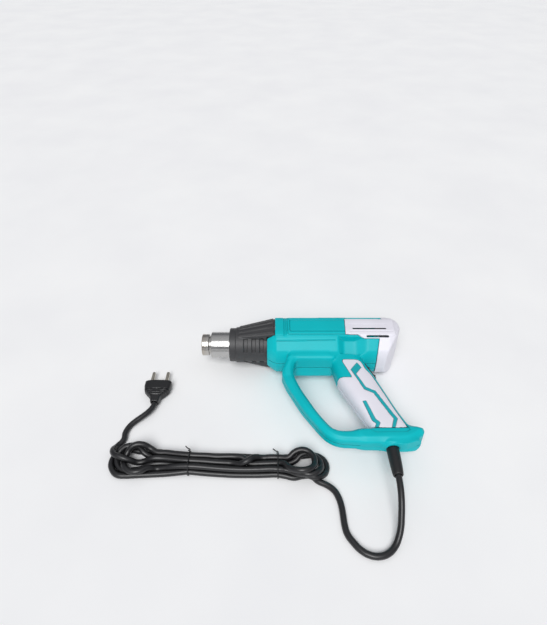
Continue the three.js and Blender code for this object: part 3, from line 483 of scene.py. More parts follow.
for number, x in enumerate(TIE_X, 1):
    runs, loop = tie_loop(x)
    band = round_curve("wire_tie_%d" % number, loop, TIE_R, closed=True)
    finish_piece(band, PVC_SHEATH, ("cord_tie_%d" % number,))
    top = max(loop, key=lambda p: p[2] + 0.3 * p[1])
    coil = [(x + math.cos(i * TWIST_TURN) - 0.15 * i, top[1] + TWIST_PITCH * i,
             top[2] + 0.9 + 0.8 * math.sin(i * TWIST_TURN)) for i in range(9)]
    _, y, z = coil[-1]
    ends = [(x - 2 - 1.2 * i, y + 1.3 * i, max(z - 0.3 * i, FLOOR_Z + 2)) for i in range(1, 4)]
    twist = round_curve("tie_twist_%d" % number, coil + ends, TIE_R)
    finish_piece(twist, PVC_SHEATH)
    print("tie", number, "holds", runs, "runs")

# %% [markdown]
# ## Drawing solid shapes as distance fields
# The housing is a rounded barrel, a closed handle loop, a keel and a foot that flow into each
# other. Subdivision modelling would need a careful cage for that. A distance field is simpler: for
# every point of a fine grid it holds how far the point is from the surface, minus inside. Two
# fields join by taking the smaller value, cut by taking the larger, and a soft minimum gives the
# fillets that a mould has. The grid turns into a mesh where the field is zero.


# %% The grid and its flat outlines
def grid(low, high, step):
    """The x, y and z places of a grid, shaped so that they spread over each other."""
    axes = [np.arange(a, b + step / 2, step, dtype=np.float32) for a, b in zip(low, high)]
    return axes[0][:, None, None], axes[1][None, :, None], axes[2][None, None, :]


def soften(points, share):
    """An outline with its corners cut off twice, by that share of their edges."""
    line = np.asarray(points, float)
    for _ in range(2):
        after = np.roll(line, -1, axis=0)
        cut = share * (after - line)
        line = np.stack([line + cut, after - cut], axis=1).reshape(-1, 2)
    return line


def ease(points, cut):
    """An outline with every corner cut back by about that many millimetres, twice over."""
    line = np.asarray(points, float)
    for turn in range(2):
        after, before = np.roll(line, -1, axis=0), np.roll(line, 1, axis=0)
        corners = []
        for side in (before, after):
            edge = side - line
            size = np.hypot(*edge.T)[:, None]
            corners.append(line + edge / size * np.minimum(cut / 2 ** turn, size * 0.35))
        line = np.stack(corners, axis=1).reshape(-1, 2)
    return line


def outline(points, u, v):
    """Distance from a closed flat outline, minus inside it."""
    u, v = np.broadcast_arrays(u, v)
    nearest = np.full(u.shape, 1e9, np.float32)
    inside = np.zeros(u.shape, bool)
    line = np.asarray(points, np.float32)
    for (x0, y0), (x1, y1) in zip(line, np.roll(line, -1, axis=0)):
        ex, ey = x1 - x0, y1 - y0
        along = np.clip(((u - x0) * ex + (v - y0) * ey) / max(ex * ex + ey * ey, 1e-9), 0, 1)
        nearest = np.minimum(nearest, (u - x0 - along * ex) ** 2 + (v - y0 - along * ey) ** 2)
        if y0 != y1:
            inside ^= ((y0 > v) != (y1 > v)) & (u < ex * (v - y0) / ey + x0)
    return np.where(inside, -1, 1) * np.sqrt(nearest)


# %% [markdown]
# A few small operations do the rest. `meet` keeps what both shapes share, `join` adds them, and
# both take a softness in millimetres, which is the radius of the edge or fillet that they leave.


# %% Joining and cutting fields
def join(a, b, soft=0.0):
    """Both shapes, with a fillet of about that radius between them."""
    if not soft:
        return np.minimum(a, b)
    blend = np.maximum(soft - np.abs(a - b), 0) / soft
    return np.minimum(a, b) - blend * blend * soft * 0.25


def meet(a, b, soft=0.0):
    """What two shapes share, with the edge rounded by about that radius."""
    return -join(-a, -b, soft)


def carve(a, tool, soft=0.0):
    """The first shape with the second cut out of it."""
    return meet(a, -tool, soft)


def bevelled(flat, height, half, chamfer):
    """A flat outline raised to a plate whose edges are cut off at forty-five degrees."""
    top = np.abs(height) - half
    return meet(meet(flat, top, 1.0), (flat + top + chamfer) * 0.7071, 1.0)


def span(place, low, high):
    """Distance past either end of a stretch, minus inside it."""
    return np.maximum(low - place, place - high)


def block(*sides):
    """What several shapes share, with sharp edges."""
    shared = sides[0]
    for side in sides[1:]:
        shared = np.maximum(shared, side)
    return shared


def follow(place, knots, values):
    """A size that changes along one direction, evenly between its knots."""
    return np.interp(place, knots, values).astype(np.float32)


def ring(u, v, radius):
    """A round rod, seen end on."""
    return np.hypot(u, v) - radius


# %% [markdown]
# The mesh comes from OpenVDB, Blender's own volume library. It merges small faces where the shape
# is flat, so a panel costs few faces and a fillet gets many. Loose crumbs, such as a sliver left
# inside a boss, are found by spreading one label over each connected part, and dropped.


# %% From field to mesh
def connected(count, edges):
    """One label per connected group of points."""
    label = np.arange(count)
    while True:
        low = np.minimum(label[edges[:, 0]], label[edges[:, 1]])
        fresh = label.copy()
        np.minimum.at(fresh, edges[:, 0], low)
        np.minimum.at(fresh, edges[:, 1], low)
        fresh = fresh[fresh]
        if (fresh == label).all():
            return label
        label = fresh


FAR = 3.0  # in grid steps; further from the surface than this the field is held level


def surface(name, field, low, step, detail=0.004, mirror=False):
    """A mesh where the field is zero. The field starts at the low corner, in millimetres."""
    field = np.pad(np.ascontiguousarray(field, np.float32), 1, constant_values=FAR)
    volume = openvdb.FloatGrid(FAR)
    volume.copyFromArray(np.clip(field / step, -FAR, FAR))
    points, triangles, quads = volume.convertToPolygons(isovalue=0.0, adaptivity=detail)
    points = (points - 1) * step + np.array(low)
    edges = np.concatenate([quads[:, :2], quads[:, 1:3], quads[:, 2:], triangles[:, :2],
                            triangles[:, 1:]]).astype(int)
    label = connected(len(points), edges)
    kept = np.bincount(label).argmax()
    triangles, quads = triangles[label[triangles[:, 0]] == kept], quads[label[quads[:, 0]] == kept]
    a, b, c = (points[np.concatenate([triangles[:, k], quads[:, k]])] for k in range(3))
    inside_out = (np.cross(a, b) * c).sum() < 0
    if mirror:
        points = points * np.array([1, 1, -1])
    if inside_out != mirror:
        triangles, quads = triangles[:, ::-1], quads[:, ::-1]
    used, corners = np.unique(np.concatenate([triangles.ravel(), quads.ravel()]), return_inverse=True)
    starts = np.concatenate([np.arange(len(triangles)) * 3, len(triangles) * 3 + np.arange(len(quads)) * 4])
    print(name, "has", len(starts), "faces")
    return mesh_piece(name, points[used], corners, starts)


# %% [markdown]
# ## The housing
# Two moulded shells meet on the gun's middle plane and hold everything. The barrel's section is a
# rounded square with two creases along each side; a raised panel carries a double frame line; the
# waist above the handle is scooped for the thumb; and the handle is a loop whose rear limb is the
# grip. The left shell is drawn once, and the right one is its mirror with the screw holes added.

# %% Where the housing's grid lies
STEP = 0.55
HOUSING_LOW = (-12.0, -166.0, -1.1)
X, Y, Z = grid(HOUSING_LOW, (173.0, 38.5, 38.0), STEP)
BARREL_HALF_Y, BARREL_HALF_Z = 36, 34
FLAT_Y, FLAT_Z = 7, 3
WALL = 2.6
PANEL_PROUD = 1.5
GAP = 0.3  # the seam between two pieces


def barrel_section(y, z):
    """Distance from the barrel's section: flats joined by quarter ellipses."""
    ry, rz = BARREL_HALF_Y - FLAT_Y, BARREL_HALF_Z - FLAT_Z
    u, v = np.maximum(np.abs(y) - FLAT_Y, 0) / ry, np.maximum(np.abs(z) - FLAT_Z, 0) / rz
    size = np.hypot(u, v)
    slope = np.hypot(u / ry, v / rz) / np.maximum(size, 1e-4)
    return np.where(size > 0.05, (size - 1) / np.maximum(slope, 1e-3), -30).astype(np.float32)


# %% [markdown]
# Each crease is made by meeting the round section with a flat facet that starts at the crease and
# falls away from it. The facet is only a millimetre deep, which is enough to catch the light along
# a straight line.

# %% Barrel, panels and straps
FACET_Y, FACET_Z = 21.6, 28.9  # a point on the facet
FACET_OUT, FACET_UP = 0.69, 0.724  # the way it faces
FRONT_X = -8.5
FRONT_INSET = ((-9, -1, 4, 200), (9.2, 2.8, 0, 0))
LINE_HALF, LINE_DEPTH = 0.6, 0.8


def facet(y, z):
    """The flat facet beyond a crease, the same above and below."""
    return FACET_OUT * (np.abs(y) - FACET_Y) + FACET_UP * (z - FACET_Z)


def creased_section(y, z):
    """The barrel's section with its creases."""
    return meet(barrel_section(y, z), facet(y, z), 0.4)


def barrel_form(x, y, z):
    """The barrel from its front ring back."""
    return meet(creased_section(y, z) + follow(x, *FRONT_INSET), FRONT_X - x, 1.2)


def raised(x, y, z, x0, x1, y0=-17.5, y1=17.5):
    """A raised panel on the barrel's side, which follows the barrel's curve."""
    plan = outline(soften([(x0, y0), (x1, y0), (x1, y1), (x0, y1)], 0.04), x, y)
    return meet(meet(plan, barrel_section(y, z) - PANEL_PROUD, 1.2), 26 - z)


def frame_line(x, y, x0, half_y):
    """A pressed line round a panel that runs on under the rear cover."""
    plan = outline([(x0 + 1.5, -half_y), (120, -half_y), (120, half_y), (x0 + 1.5, half_y),
                    (x0, half_y - 1.5), (x0, 1.5 - half_y)], x, y)
    return np.abs(plan) - LINE_HALF


barrel = barrel_form(X, Y, Z)
pressed = PANEL_PROUD - LINE_DEPTH - barrel_section(Y, Z)
panel = raised(X, Y, Z, 16.5, 98)
for x0, half_y in ((18.3, 15.4), (21.4, 10.9)):
    panel = carve(panel, block(frame_line(X, Y, x0, half_y), pressed), 0.3)
strap = raised(X, Y, Z, 2, 13.5)
strip = raised(X, Y, Z, 60, 143.5, 14.3, 17.5)
outside_barrel = join(join(barrel, panel, 0.8), join(strap, strip), 0.8)
print("barrel drawn on a grid of", outside_barrel.shape)

# %% [markdown]
# The grip's front and back edges are two lines in the side view. How far a point lies between
# them gives its place across the section, and the section itself is a squared oval, which is what
# fills a hand.

# %% Handle, knuckle bar, keel and foot
HANDLE_FRONT = [(73, -25), (75, -47), (79.5, -71.8), (84.8, -84.2), (97.3, -111), (107.8, -134.5),
                (119.6, -158.5)]
HANDLE_BACK = [(106, -14), (115, -38), (121, -54), (126.6, -66.3), (136.4, -94.1), (145.3, -118.8),
               (157.5, -146)]
HANDLE_HALF_Z = [16, 16.5, 16.5, 16.3, 14.8, 12.6, 11.6]
SQUARENESS = 3.0


def beyond(points, far_x, x, y):
    """Distance past one edge of the grip, plus on the grip's side of it."""
    line = np.asarray(points, float)
    dense = np.linspace(0, len(line) - 1, 50)
    smooth = np.stack([np.interp(dense, np.arange(len(line)), line[:, k]) for k in (0, 1)], axis=1)
    for _ in range(12):
        smooth[1:-1] = (smooth[:-2] + 2 * smooth[1:-1] + smooth[2:]) / 4
    top = smooth[0] + (smooth[0] - smooth[1]) * 12
    end = smooth[-1] + (smooth[-1] - smooth[-2]) * 12
    return outline([top, *smooth, end, (far_x, end[1]), (far_x, top[1])], x, y)


def handle_form(x, y, z):
    """The grip before its pads are let in."""
    front, back = beyond(HANDLE_FRONT, -400, x, y), beyond(HANDLE_BACK, 600, x, y)
    reach = np.maximum((front + back) / 2, 1.0)
    across = (front - back) / 2 / reach
    middles = (np.array(HANDLE_FRONT) + np.array(HANDLE_BACK)) / 2
    run = middles[-1] - middles[0]
    run = run / np.hypot(*run)
    along = (x - middles[0][0]) * run[0] + (y - middles[0][1]) * run[1]
    half_z = follow(along, (middles - middles[0]) @ run, HANDLE_HALF_Z)
    u, v = np.abs(across), np.abs(z) / half_z
    size = (u ** SQUARENESS + v ** SQUARENESS) ** (1 / SQUARENESS)
    return block((size - 1) * np.minimum(reach, half_z), span(along, -12, 157))


LOOP_OUTSIDE = [(20, -22), (19.2, -36.5), (9.6, -58), (15.5, -77), (33.3, -114), (54, -146), (62, -154.5),
                (74, -160), (100, -161), (146, -161), (162, -154), (169.5, -147), (164, -142),
                (140, -142), (134, -120), (112, -60), (116, -22)]
LOOP_INSIDE = [(28, -41.5), (23.8, -58), (34, -86), (51, -120), (64, -140), (69, -144), (76, -146),
               (112, -144.5), (108, -134), (86, -76), (78, -44), (74, -42)]
KEEL = [(19.5, -20), (19, -37), (16.8, -42.5), (77, -42.5), (84, -34), (84, -20)]
FOOT = [(90, -146), (96, -161), (146, -161), (162, -154), (169.5, -147), (164, -142), (112, -142)]
BAR_HALF_Z, FOOT_HALF_Z, KEEL_HALF_Z = 10.5, 12, 18.5
COLLAR_R = 12.5

handle = handle_form(X, Y, Z)
loop_plan = carve(outline(ease(LOOP_OUTSIDE, 3.5), X, Y), outline(ease(LOOP_INSIDE, 4), X, Y))
# The bar grows to the keel's width towards the barrel and the front.
widening = np.clip((Y + 66) / 26, 0, 1) * np.clip((84 - X) / 14, 0, 1)
loop = bevelled(loop_plan, Z, BAR_HALF_Z + (KEEL_HALF_Z - BAR_HALF_Z) * widening, 4.0)
keel = bevelled(outline(ease(KEEL, 1.5), X, Y), Z, KEEL_HALF_Z, 2.5)
foot_half = follow(X, (85, 130), (BAR_HALF_Z, FOOT_HALF_Z))
foot = bevelled(outline(ease(FOOT, 4), X, Y), Z, foot_half, 4.0)
collar = meet(ring(X - SLEEVE_X, Z, COLLAR_R), span(Y, -164.4, -150), 2.5)
collar = meet(collar, np.abs(Z) - FOOT_HALF_Z, 1)
frame_parts = join(keel, foot, 2)
print("grip and loop drawn")

# %% [markdown]
# The thumb's waist is a shallow scoop whose floor is tilted, with a flank at each end. It is cut
# after the grip has been blended into the barrel, so the grip's root keeps a rounded hump below.

# %% Join the outside and scoop the waist
WAIST_TILT = math.radians(42)
WAIST_FLOOR = 29
WAIST_FRONT_X, WAIST_BACK_X = 91, 106.5


def waist_form(x, y, z, grow=0.0):
    """The scoop under each side panel, deepened by grow."""
    depth = z * math.cos(WAIST_TILT) - y * math.sin(WAIST_TILT)
    front = -((x - WAIST_FRONT_X) * 0.67 + (depth - WAIST_FLOOR) * 0.74)
    back = (x - WAIST_BACK_X) * 0.43 - (depth - WAIST_FLOOR) * 0.903
    hollow = meet(meet(front, back, 2), WAIST_FLOOR - depth, 1.5) - grow
    return meet(meet(hollow, -34 - y, 3), y + 17.6 - grow, 0.6)


body = join(outside_barrel, join(keel, loop, 2), 2)
body = join(body, handle, 3)
body = join(body, foot, 6)
body = join(body, collar, 0.8)
body = carve(body, waist_form(X, Y, Z), 1.2)
print("outside joined")

# %% [markdown]
# The rear cover and the black guard each take a bite out of the shells, and they are drawn with
# the same outlines, so the seam between two colours is an even 0.3 mm line, as on the real gun.

# %% Spaces for the rear cover, the guard and the grip pads
COVER_CAP = [(143.8, 60), (143.8, 13), (137, 13), (137, -20), (134, -34), (131, -60), (220, -60), (220, 60)]
COVER_WING = [(93, -15.2), (109, -15.2), (117.5, -20.4), (140, -20.4), (140, 14), (94.5, 14)]
HOOD_X = (-50, 2)
HOOD_RADII = (22.8, 35)
GUARD_R = 23.8
FLANGE_R = 27.3


def cover_space(x, y, z):
    """The room that the rear cover fills."""
    cap = outline(COVER_CAP, x, y)
    wing = carve(outline(COVER_WING, x, y), z - (BARREL_HALF_Z - WALL - 1))
    return join(cap, wing)


def hood_edge(x, y):
    """Distance past the hood's slanting lower edge."""
    return (-8 - y) * 0.994 - (x + 59) * 0.107


def hood_form(x, y, z):
    """The guard's flaring hood, over the barrel's top and sides."""
    flare = ring(y, z, 0) - follow(x, HOOD_X, HOOD_RADII)
    return meet(meet(flare, span(x, *HOOD_X), 0.8), hood_edge(x, y), 0.8)


PAD_OUTLINE = [(85.5, -43), (107, -43.5), (111, -46), (113, -51), (114.5, -58), (121.5, -68.5),
               (141, -120), (154, -152), (108, -152), (68, -90), (70, -67.5), (84, -70.6), (90, -72.3),
               (96.3, -73.6)]
PAD_THICKNESS = 2.4
STEP_HALF, STEP_DEPTH = 0.55, 0.7
pad_plan = outline(soften(PAD_OUTLINE, 0.12), X, Y)
cover_room = cover_space(X, Y, np.abs(Z))
hood_room = hood_form(X, Y, Z)

# The crease on each side is a fine pressed step that runs from the front ring to the waist.
step_line = np.abs(Y) - 21.3 - 0.012 * (82 - X)
step_cut = block(np.abs(step_line) - STEP_HALF, 24 - Z, span(X, -2, 80))
body = carve(body, block(step_cut, -(creased_section(Y, Z) + STEP_DEPTH)), 0.3)
shell = carve(body, cover_room - GAP)
shell = carve(shell, hood_room - GAP)
shell = carve(shell, meet(ring(Y, Z, GUARD_R + 2 * GAP), X - 0.4))
shell = carve(shell, meet(ring(Y, Z, FLANGE_R + GAP), span(X, -4, -0.6)))
pad_bed = meet(meet(pad_plan, -(handle + PAD_THICKNESS)), -frame_parts)
shell = carve(shell, pad_bed, 0.4)
print("rooms for the cover, the guard and the pads cut")

# %% [markdown]
# Inside, the shells are hollow. The barrel holds the heater, the fan and the motor; the grip holds
# the switch and the wires; and the foot holds the clamp that grips the lead. Bosses for the nine
# screws join the two shells.

# %% Hollow the shells and add the bosses
# Each screw's place in the side view, where its head sits and where its tip ends.
SCREWS = [(20, 27.5, 15, 8), (20, -28, 15, 8), (82, 27.5, 15, 8), (128, 27.5, 15, 8), (86, -52, 10, 8),
          (129, -127, 8.5, 7), (38.6, -110, 5, 6.5), (82, -153, 5, 6.5), (158, -149.5, 5, 6.5)]
SCREW_BOSS_R, SCREW_HEAD_R, SCREW_R = 4.0, 3.1, 1.6
ROCKER_AT, ROCKER_TURN = (122, -56), math.radians(22)
SWITCH_HALF_LENGTH, SWITCH_HALF_WIDTH = 13, 8
CLAMP_Y, CLAMP_SCREW_X = -148, 6.6


def at_rocker(x, y):
    """The side view's two directions about the switch: out of the grip's back, and up along it."""
    u, v = x - ROCKER_AT[0], y - ROCKER_AT[1]
    c, s = math.cos(ROCKER_TURN), math.sin(ROCKER_TURN)
    return u * c + v * s, v * c - u * s


front_wall = follow(X, (-0.6, 5), (4, 0))
hollow_barrel = meet(creased_section(Y, Z) + WALL + front_wall, -0.6 - X)
hollow_grip = block(handle + PAD_THICKNESS + WALL, -140 - Y)
wire_way = block(np.abs(X - SLEEVE_X) - 9, np.abs(Y + 143.8) - 9.8, Z - 8.4)
hollow = join(join(hollow_barrel, hollow_grip), wire_way)
hollow = carve(hollow, waist_form(X, Y, Z, WALL))
shell = carve(shell, hollow)
rocker_out, rocker_up = at_rocker(X, Y)
rocker_room = block(np.abs(rocker_up) - SWITCH_HALF_LENGTH - GAP, Z - SWITCH_HALF_WIDTH - GAP,
                    np.abs(rocker_out + 12) - 18)
shell = carve(shell, rocker_room)
sleeve_room = meet(ring(X - SLEEVE_X, Z, SLEEVE_R + GAP), span(Y, -167, -150))
flange_room = meet(ring(X - SLEEVE_X, Z, SLEEVE_FLANGE_R + GAP), span(Y, -157.8, -154.2))
shell = carve(shell, join(sleeve_room, flange_room))
# Only the upper half of the foot has a collar round the lead, so the lower half ends flat.
left, right = shell, meet(shell, -161.3 - Y)
for x, y, seat, tip in SCREWS:
    boss = block(ring(X - x, Y - y, SCREW_BOSS_R), body)
    left = join(left, meet(boss, Z - seat))
    right = join(right, meet(boss, Z - seat - WALL))
    screw_hole = ring(X - x, Y - y, SCREW_R + GAP)
    head_room = meet(ring(X - x, Y - y, SCREW_HEAD_R + GAP), seat + GAP - Z)
    left = carve(left, meet(screw_hole, Z - tip - 1))
    right = carve(right, join(screw_hole, head_room), 0.3)
saddle = block(np.abs(X - SLEEVE_X) - 9.1, np.abs(Y - CLAMP_Y) - 3, np.abs(Z - 4.35) - 4.05)
right = join(right, carve(saddle, ring(X - SLEEVE_X, Z, CORD_R + GAP)))
for side in (-1, 1):
    right = carve(right, block(ring(X - SLEEVE_X - side * CLAMP_SCREW_X, Y - CLAMP_Y, 1.4), Z - 7))

# %% [markdown]
# ABS is what such a housing is moulded from: tough, a little glossy and easy to colour right
# through. Its grain takes the glare off, and the highlight along a facet stays soft.

# %% Mesh the two shells
TEAL_ABS = moulded("moulded_abs_teal", "#00B5BD", "#2CCBD0", "#03484F", 0.42, 1.46, shine=0.25)
seam = GAP / 2
for name, field, mirror in (("housing_shell_left", left, False), ("housing_shell_right", right, True)):
    shell_piece = surface(name, block(field, seam - Z), HOUSING_LOW, STEP, detail=0.006, mirror=mirror)
    finish_piece(shell_piece, TEAL_ABS, ("housing_right" if mirror else "housing_left",))

# %% [markdown]
# ## Grip pads
# A second, softer plastic is moulded into the grip: a thermoplastic elastomer, matt and slightly
# grippy. Each pad is the grip's own skin, 2.4 mm thick, trimmed to its outline. Coloured bands run
# down it as separate thin inlays that stand a touch proud.

# %% Pads and their inlaid bands
WHITE_TPE = moulded(
    "moulded_tpe_white", "#E2E0E9", "#EDECF3", "#8F8D99", 0.62, 1.5, grain_mm=1.3, grain_depth=0.12)
TEAL_TPE = moulded(
    "moulded_tpe_teal", "#02A3AC", "#35B4BC", "#04555B", 0.55, 1.5, grain_mm=1.3, grain_depth=0.08)
BANDS = [
    [(96, -61.2), (105.2, -48.8), (109.9, -57.3), (101.8, -68.1), (111, -89.2), (121.5, -94.4),
     (141.1, -132.7), (135.5, -147), (131.5, -147), (136.3, -133.5), (118.7, -98.2), (108, -92.1)],
    [(104.4, -108.7), (108.3, -108.4), (116.2, -133.3), (120.6, -138.2), (116.4, -146.4),
     (112.6, -145.8), (115.9, -138.8), (112, -134)],
]
BAND_PROUD, BAND_UNDER, BAND_BED = 0.12, 0.7, 0.8
pad = meet(meet(handle, -(handle + PAD_THICKNESS - GAP)), pad_plan + GAP, 0.7)
pad = carve(pad, frame_parts - GAP, 0.4)
pad = block(pad, seam - Z)
pad = carve(pad, rocker_room - GAP, 0.4)
band_plans = [outline(band, X, Y) for band in BANDS]
bands = np.minimum(*band_plans)
pad_left = carve(pad, block(bands - 0.08, -(handle + BAND_BED)))
pad_right = pad_left
for x, y, seat, tip in SCREWS:
    pad_right = carve(pad_right, ring(X - x, Y - y, SCREW_BOSS_R + GAP))
for side, mirror, pad_field in (("left", False, pad_left), ("right", True, pad_right)):
    pad_piece = surface("grip_pad_%s_skin" % side, pad_field, HOUSING_LOW, STEP, mirror=mirror)
    finish_piece(pad_piece, WHITE_TPE, ("grip_pad_" + side,))
    for number, band_plan in enumerate(band_plans, 1):
        inlay = meet(meet(band_plan + 0.05, handle - BAND_PROUD, 0.2), -handle - BAND_UNDER)
        inlay = block(inlay, pad_plan + 0.9, GAP + 1 - Z, 0.4 - frame_parts)
        band_piece = surface("grip_band_%s_%d" % (side, number), inlay, HOUSING_LOW, STEP, mirror=mirror)
        finish_piece(band_piece, TEAL_TPE)

# %% [markdown]
# ## Rear cover
# A white cap closes the back of the barrel and sends a wing forward along each side. Its rear is
# sloped in the side view and slightly domed. Two long slots in each wing and two rows of short
# ones in the rear let the fan breathe in.

# %% Model the rear cover
COVER_STEP = 0.5
COVER_LOW = (91.0, -64.0, -38.0)
cx, cy, cz = grid(COVER_LOW, (171.0, 38.0, 38.0), COVER_STEP)
REAR_SLOPE = [(60, 60), (146, 60), (152, 36), (160, 30), (167, 19), (169, 13), (169, 4), (163, -5),
              (162, -12), (151, -29), (142, -42), (135, -60), (60, -60)]
DOME_X, DOME_DEPTH = (60, 150, 158, 164, 167.5, 170), (-0.8, -0.8, 0.7, 3.7, 7.2, 11)
WING_SLOTS = [(103, 147, -6), (120, 149, -18)]
REAR_SLOT_Z = (-18, -11, -4, 4, 11, 18)
SLOT_HALF = 1.4
SLOT_WALL = 1.0  # the wall is thinned behind each long slot, so the slot looks deep
THINNED = 2.2  # how much wider than the slot the thin part is


def slot_form(u, v, u0, u1, middle, half=SLOT_HALF):
    """A slot with round ends, seen straight on."""
    return np.hypot(np.maximum(span(u, u0 + half, u1 - half), 0), v - middle) - half


slope = outline(ease(REAR_SLOPE, 1.5), cx, cy)
either_side = np.abs(cz)
cover_skin = creased_section(cy, either_side)
wing = raised(cx, cy, either_side, 80, 158, -17, 14)
wing_pressed = PANEL_PROUD - 0.7 - barrel_section(cy, cz)
for line_end, y in ((149, 1.6), (156, -11)):
    wing = carve(wing, block(slot_form(cx, cy, 99, line_end, y, 0.8), wing_pressed), 0.3)
cover_out = meet(join(cover_skin + follow(cx, DOME_X, DOME_DEPTH), wing, 0.8), slope, 1.5)
cover_in = meet(cover_skin + follow(cx + WALL, DOME_X, DOME_DEPTH) + WALL, slope + WALL)
cover = carve(meet(cover_out, cover_space(cx, cy, either_side), 0.4), cover_in)
for x0, x1, y in WING_SLOTS:
    cover = carve(cover, block(slot_form(cx, cy, x0, x1, y), 20 - either_side), 0.3)
    behind = slot_form(cx, cy, x0 - 2, x1 + 2, y, SLOT_HALF + THINNED)
    cover = carve(cover, block(behind, 20 - either_side, cover_out + SLOT_WALL))
for z in REAR_SLOT_Z:
    for y0, y1 in ((-13, -4), (14, 25)):
        cover = carve(cover, block(slot_form(cy, cz, y0, y1, z), 155 - cx), 0.3)
WHITE_ABS = moulded("moulded_abs_white", "#E4E2EB", "#F0EFF5", "#85838E", 0.42, 1.53)
finish_piece(surface("rear_cover_shell", cover, COVER_LOW, COVER_STEP), WHITE_ABS,
             ("rear_cover",))

# %% [markdown]
# ## Heat guard
# The black sleeve round the nozzle keeps fingers off hot steel. It is moulded from nylon filled
# with glass fibre, which stands the heat and looks dark grey and dry, because the fibres roughen
# the skin. Ribs fan out along its hood, and three shallow pockets are sunk into each side.

# %% Model the heat guard
GUARD_STEP = 0.42
GUARD_LOW = (-60.0, -37.0, -37.0)
gx, gy, gz = grid(GUARD_LOW, (4.0, 37.0, 37.0), GUARD_STEP)
POCKET_X = (-36.8, -26.1, -15.8)
POCKET_ROLL = (math.radians(28), math.radians(72))
POCKET_HALF, POCKET_FLOOR = 2.7, 21.9
RIB_ANGLES = range(3, 180, 15)
RIB_HALF, RIB_HEIGHT = 1.2, 1.3
radius = np.hypot(gy, gz)
roll = np.arctan2(-gy, np.abs(gz))
sleeve = meet(meet(radius - 22.6, span(gx, -58.7, -49), 1.2), 18.4 - radius, 0.8)
barrel_part = meet(meet(radius - GUARD_R, span(gx, -50.2, -3.7), 0.8), 20.4 - radius)
flange = block(radius - FLANGE_R, span(gx, -3.7, -0.9), 21 - radius)
guard = join(join(sleeve, barrel_part, 0.4), flange)
hood = hood_form(gx, gy, gz)
flare_r = follow(gx, HOOD_X, HOOD_RADII)
turn = np.abs(np.degrees(np.arctan2(gz, gy)))
for angle in RIB_ANGLES:
    away = np.abs(np.sin(np.radians(turn - angle))) * radius
    rib = block(away - RIB_HALF, radius - flare_r - RIB_HEIGHT, span(gx, -46, -0.5), 20 - radius)
    hood = join(hood, block(rib, hood_edge(gx, gy) + 1.5), 1.2)
hood = carve(hood, block(radius - follow(gx, (-60, 4), (22, 23)), -60 - gx))
hood = carve(hood, block(radius - 30.2, -8.8 - gx))
guard = join(guard, hood, 0.6)
for x in POCKET_X:
    pocket = block(np.abs(gx - x) - POCKET_HALF, span(roll, *POCKET_ROLL) * 22)
    guard = carve(guard, meet(pocket, POCKET_FLOOR - radius, 0.5), 0.3)
BLACK_NYLON = moulded("moulded_glass_filled_nylon", "#353537", "#5A5A5D", "#141415", 0.5, 1.54,
                      grain_mm=1.1, grain_depth=0.09)
finish_piece(surface("heat_guard", guard, GUARD_LOW, GUARD_STEP), BLACK_NYLON,
             ("nozzle_guard",))

# %% [markdown]
# ## Nozzle
# The nozzle is two pieces of thin stainless tube, turned and polished round their axis, so the
# fine lines run round it and the highlight is a band along it. Heat has left a breath of straw
# colour at the mouth. Both tubes are profiles spun about the barrel's axis.


# %% Spin a profile
def spun(name, profile, axis="X", centre=(0, 0, 0), sides=96, cut=0.2):
    """A ring-shaped solid from a closed profile of places along the axis and radii."""
    line = ease(profile, cut)
    angles = np.linspace(0, 2 * math.pi, sides, endpoint=False)
    along = np.repeat(line[:, 0][:, None], sides, axis=1)
    u, v = line[:, 1][:, None] * np.cos(angles), line[:, 1][:, None] * np.sin(angles)
    order = (along, u, v) if axis == "X" else (u, along, -v)
    points = np.stack(order, axis=2).reshape(-1, 3) + np.array(centre)
    j = np.arange(sides)[None, :]
    here = np.arange(len(line))[:, None] * sides
    beside = np.roll(here, -1, axis=0)
    quads = np.stack([here + j, beside + j, beside + (j + 1) % sides, here + (j + 1) % sides],
                     axis=2).reshape(-1, 4)
    a, b, c = points[quads[:, 0]], points[quads[:, 1]], points[quads[:, 2]]
    middle = points.mean(axis=0)
    if (np.cross(a - middle, b - middle) * (c - middle)).sum() < 0:
        quads = quads[:, ::-1]
    return mesh_piece(name, points, quads.ravel(), np.arange(len(quads)) * 4)


# %% [markdown]
# Stainless steel is a grey mirror, and what makes it look like steel is how sharply it mirrors the
# room: sharply along the fine polishing lines, and smeared across them.

# %% Polished stainless steel
POLISH_MM, SMUDGE_MM, STRAW_MM = 0.7, 14, 16
STAINLESS, steel_shader, steel_place = new_finish("polished_stainless_steel")
# The polishing lines are really 0.05 mm apart; at 0.7 mm they can be seen.
axial = add(STAINLESS, "Mapping", {"Vector": steel_place, "Scale": (1 / (POLISH_MM * MM), 14, 14)})
lines = add(STAINLESS, "TexNoise", {"Vector": axial, "Scale": 1.0, "Detail": 3.0})
smudge = add(STAINLESS, "TexNoise", {"Vector": steel_place, "Scale": 1 / (SMUDGE_MM * MM), "Detail": 2.0})
apart = add(STAINLESS, "SeparateXYZ", {"Vector": steel_place}, out="X")
mouth_place = placed((MOUTH_X, 0, 0)).x
heat = add(STAINLESS, "MapRange", {
    "Value": apart, "From Min": mouth_place, "From Max": mouth_place + STRAW_MM * MM})
tint = add(STAINLESS, "ValToRGB", {"Fac": heat}, stops=[
    (0.0, colour("#B8B0A6")), (0.45, colour("#BDBAB6")), (1.0, colour("#BCBBBA"))])
gloss = add(STAINLESS, "MapRange", {"Value": smudge, "To Min": 0.16, "To Max": 0.34})
scratch = add(STAINLESS, "Bump", {"Height": lines, "Strength": 0.35, "Distance": 0.03 * MM})
wire(STAINLESS, steel_shader, Base_Color=tint, Metallic=1.0, Roughness=gloss, Normal=scratch)

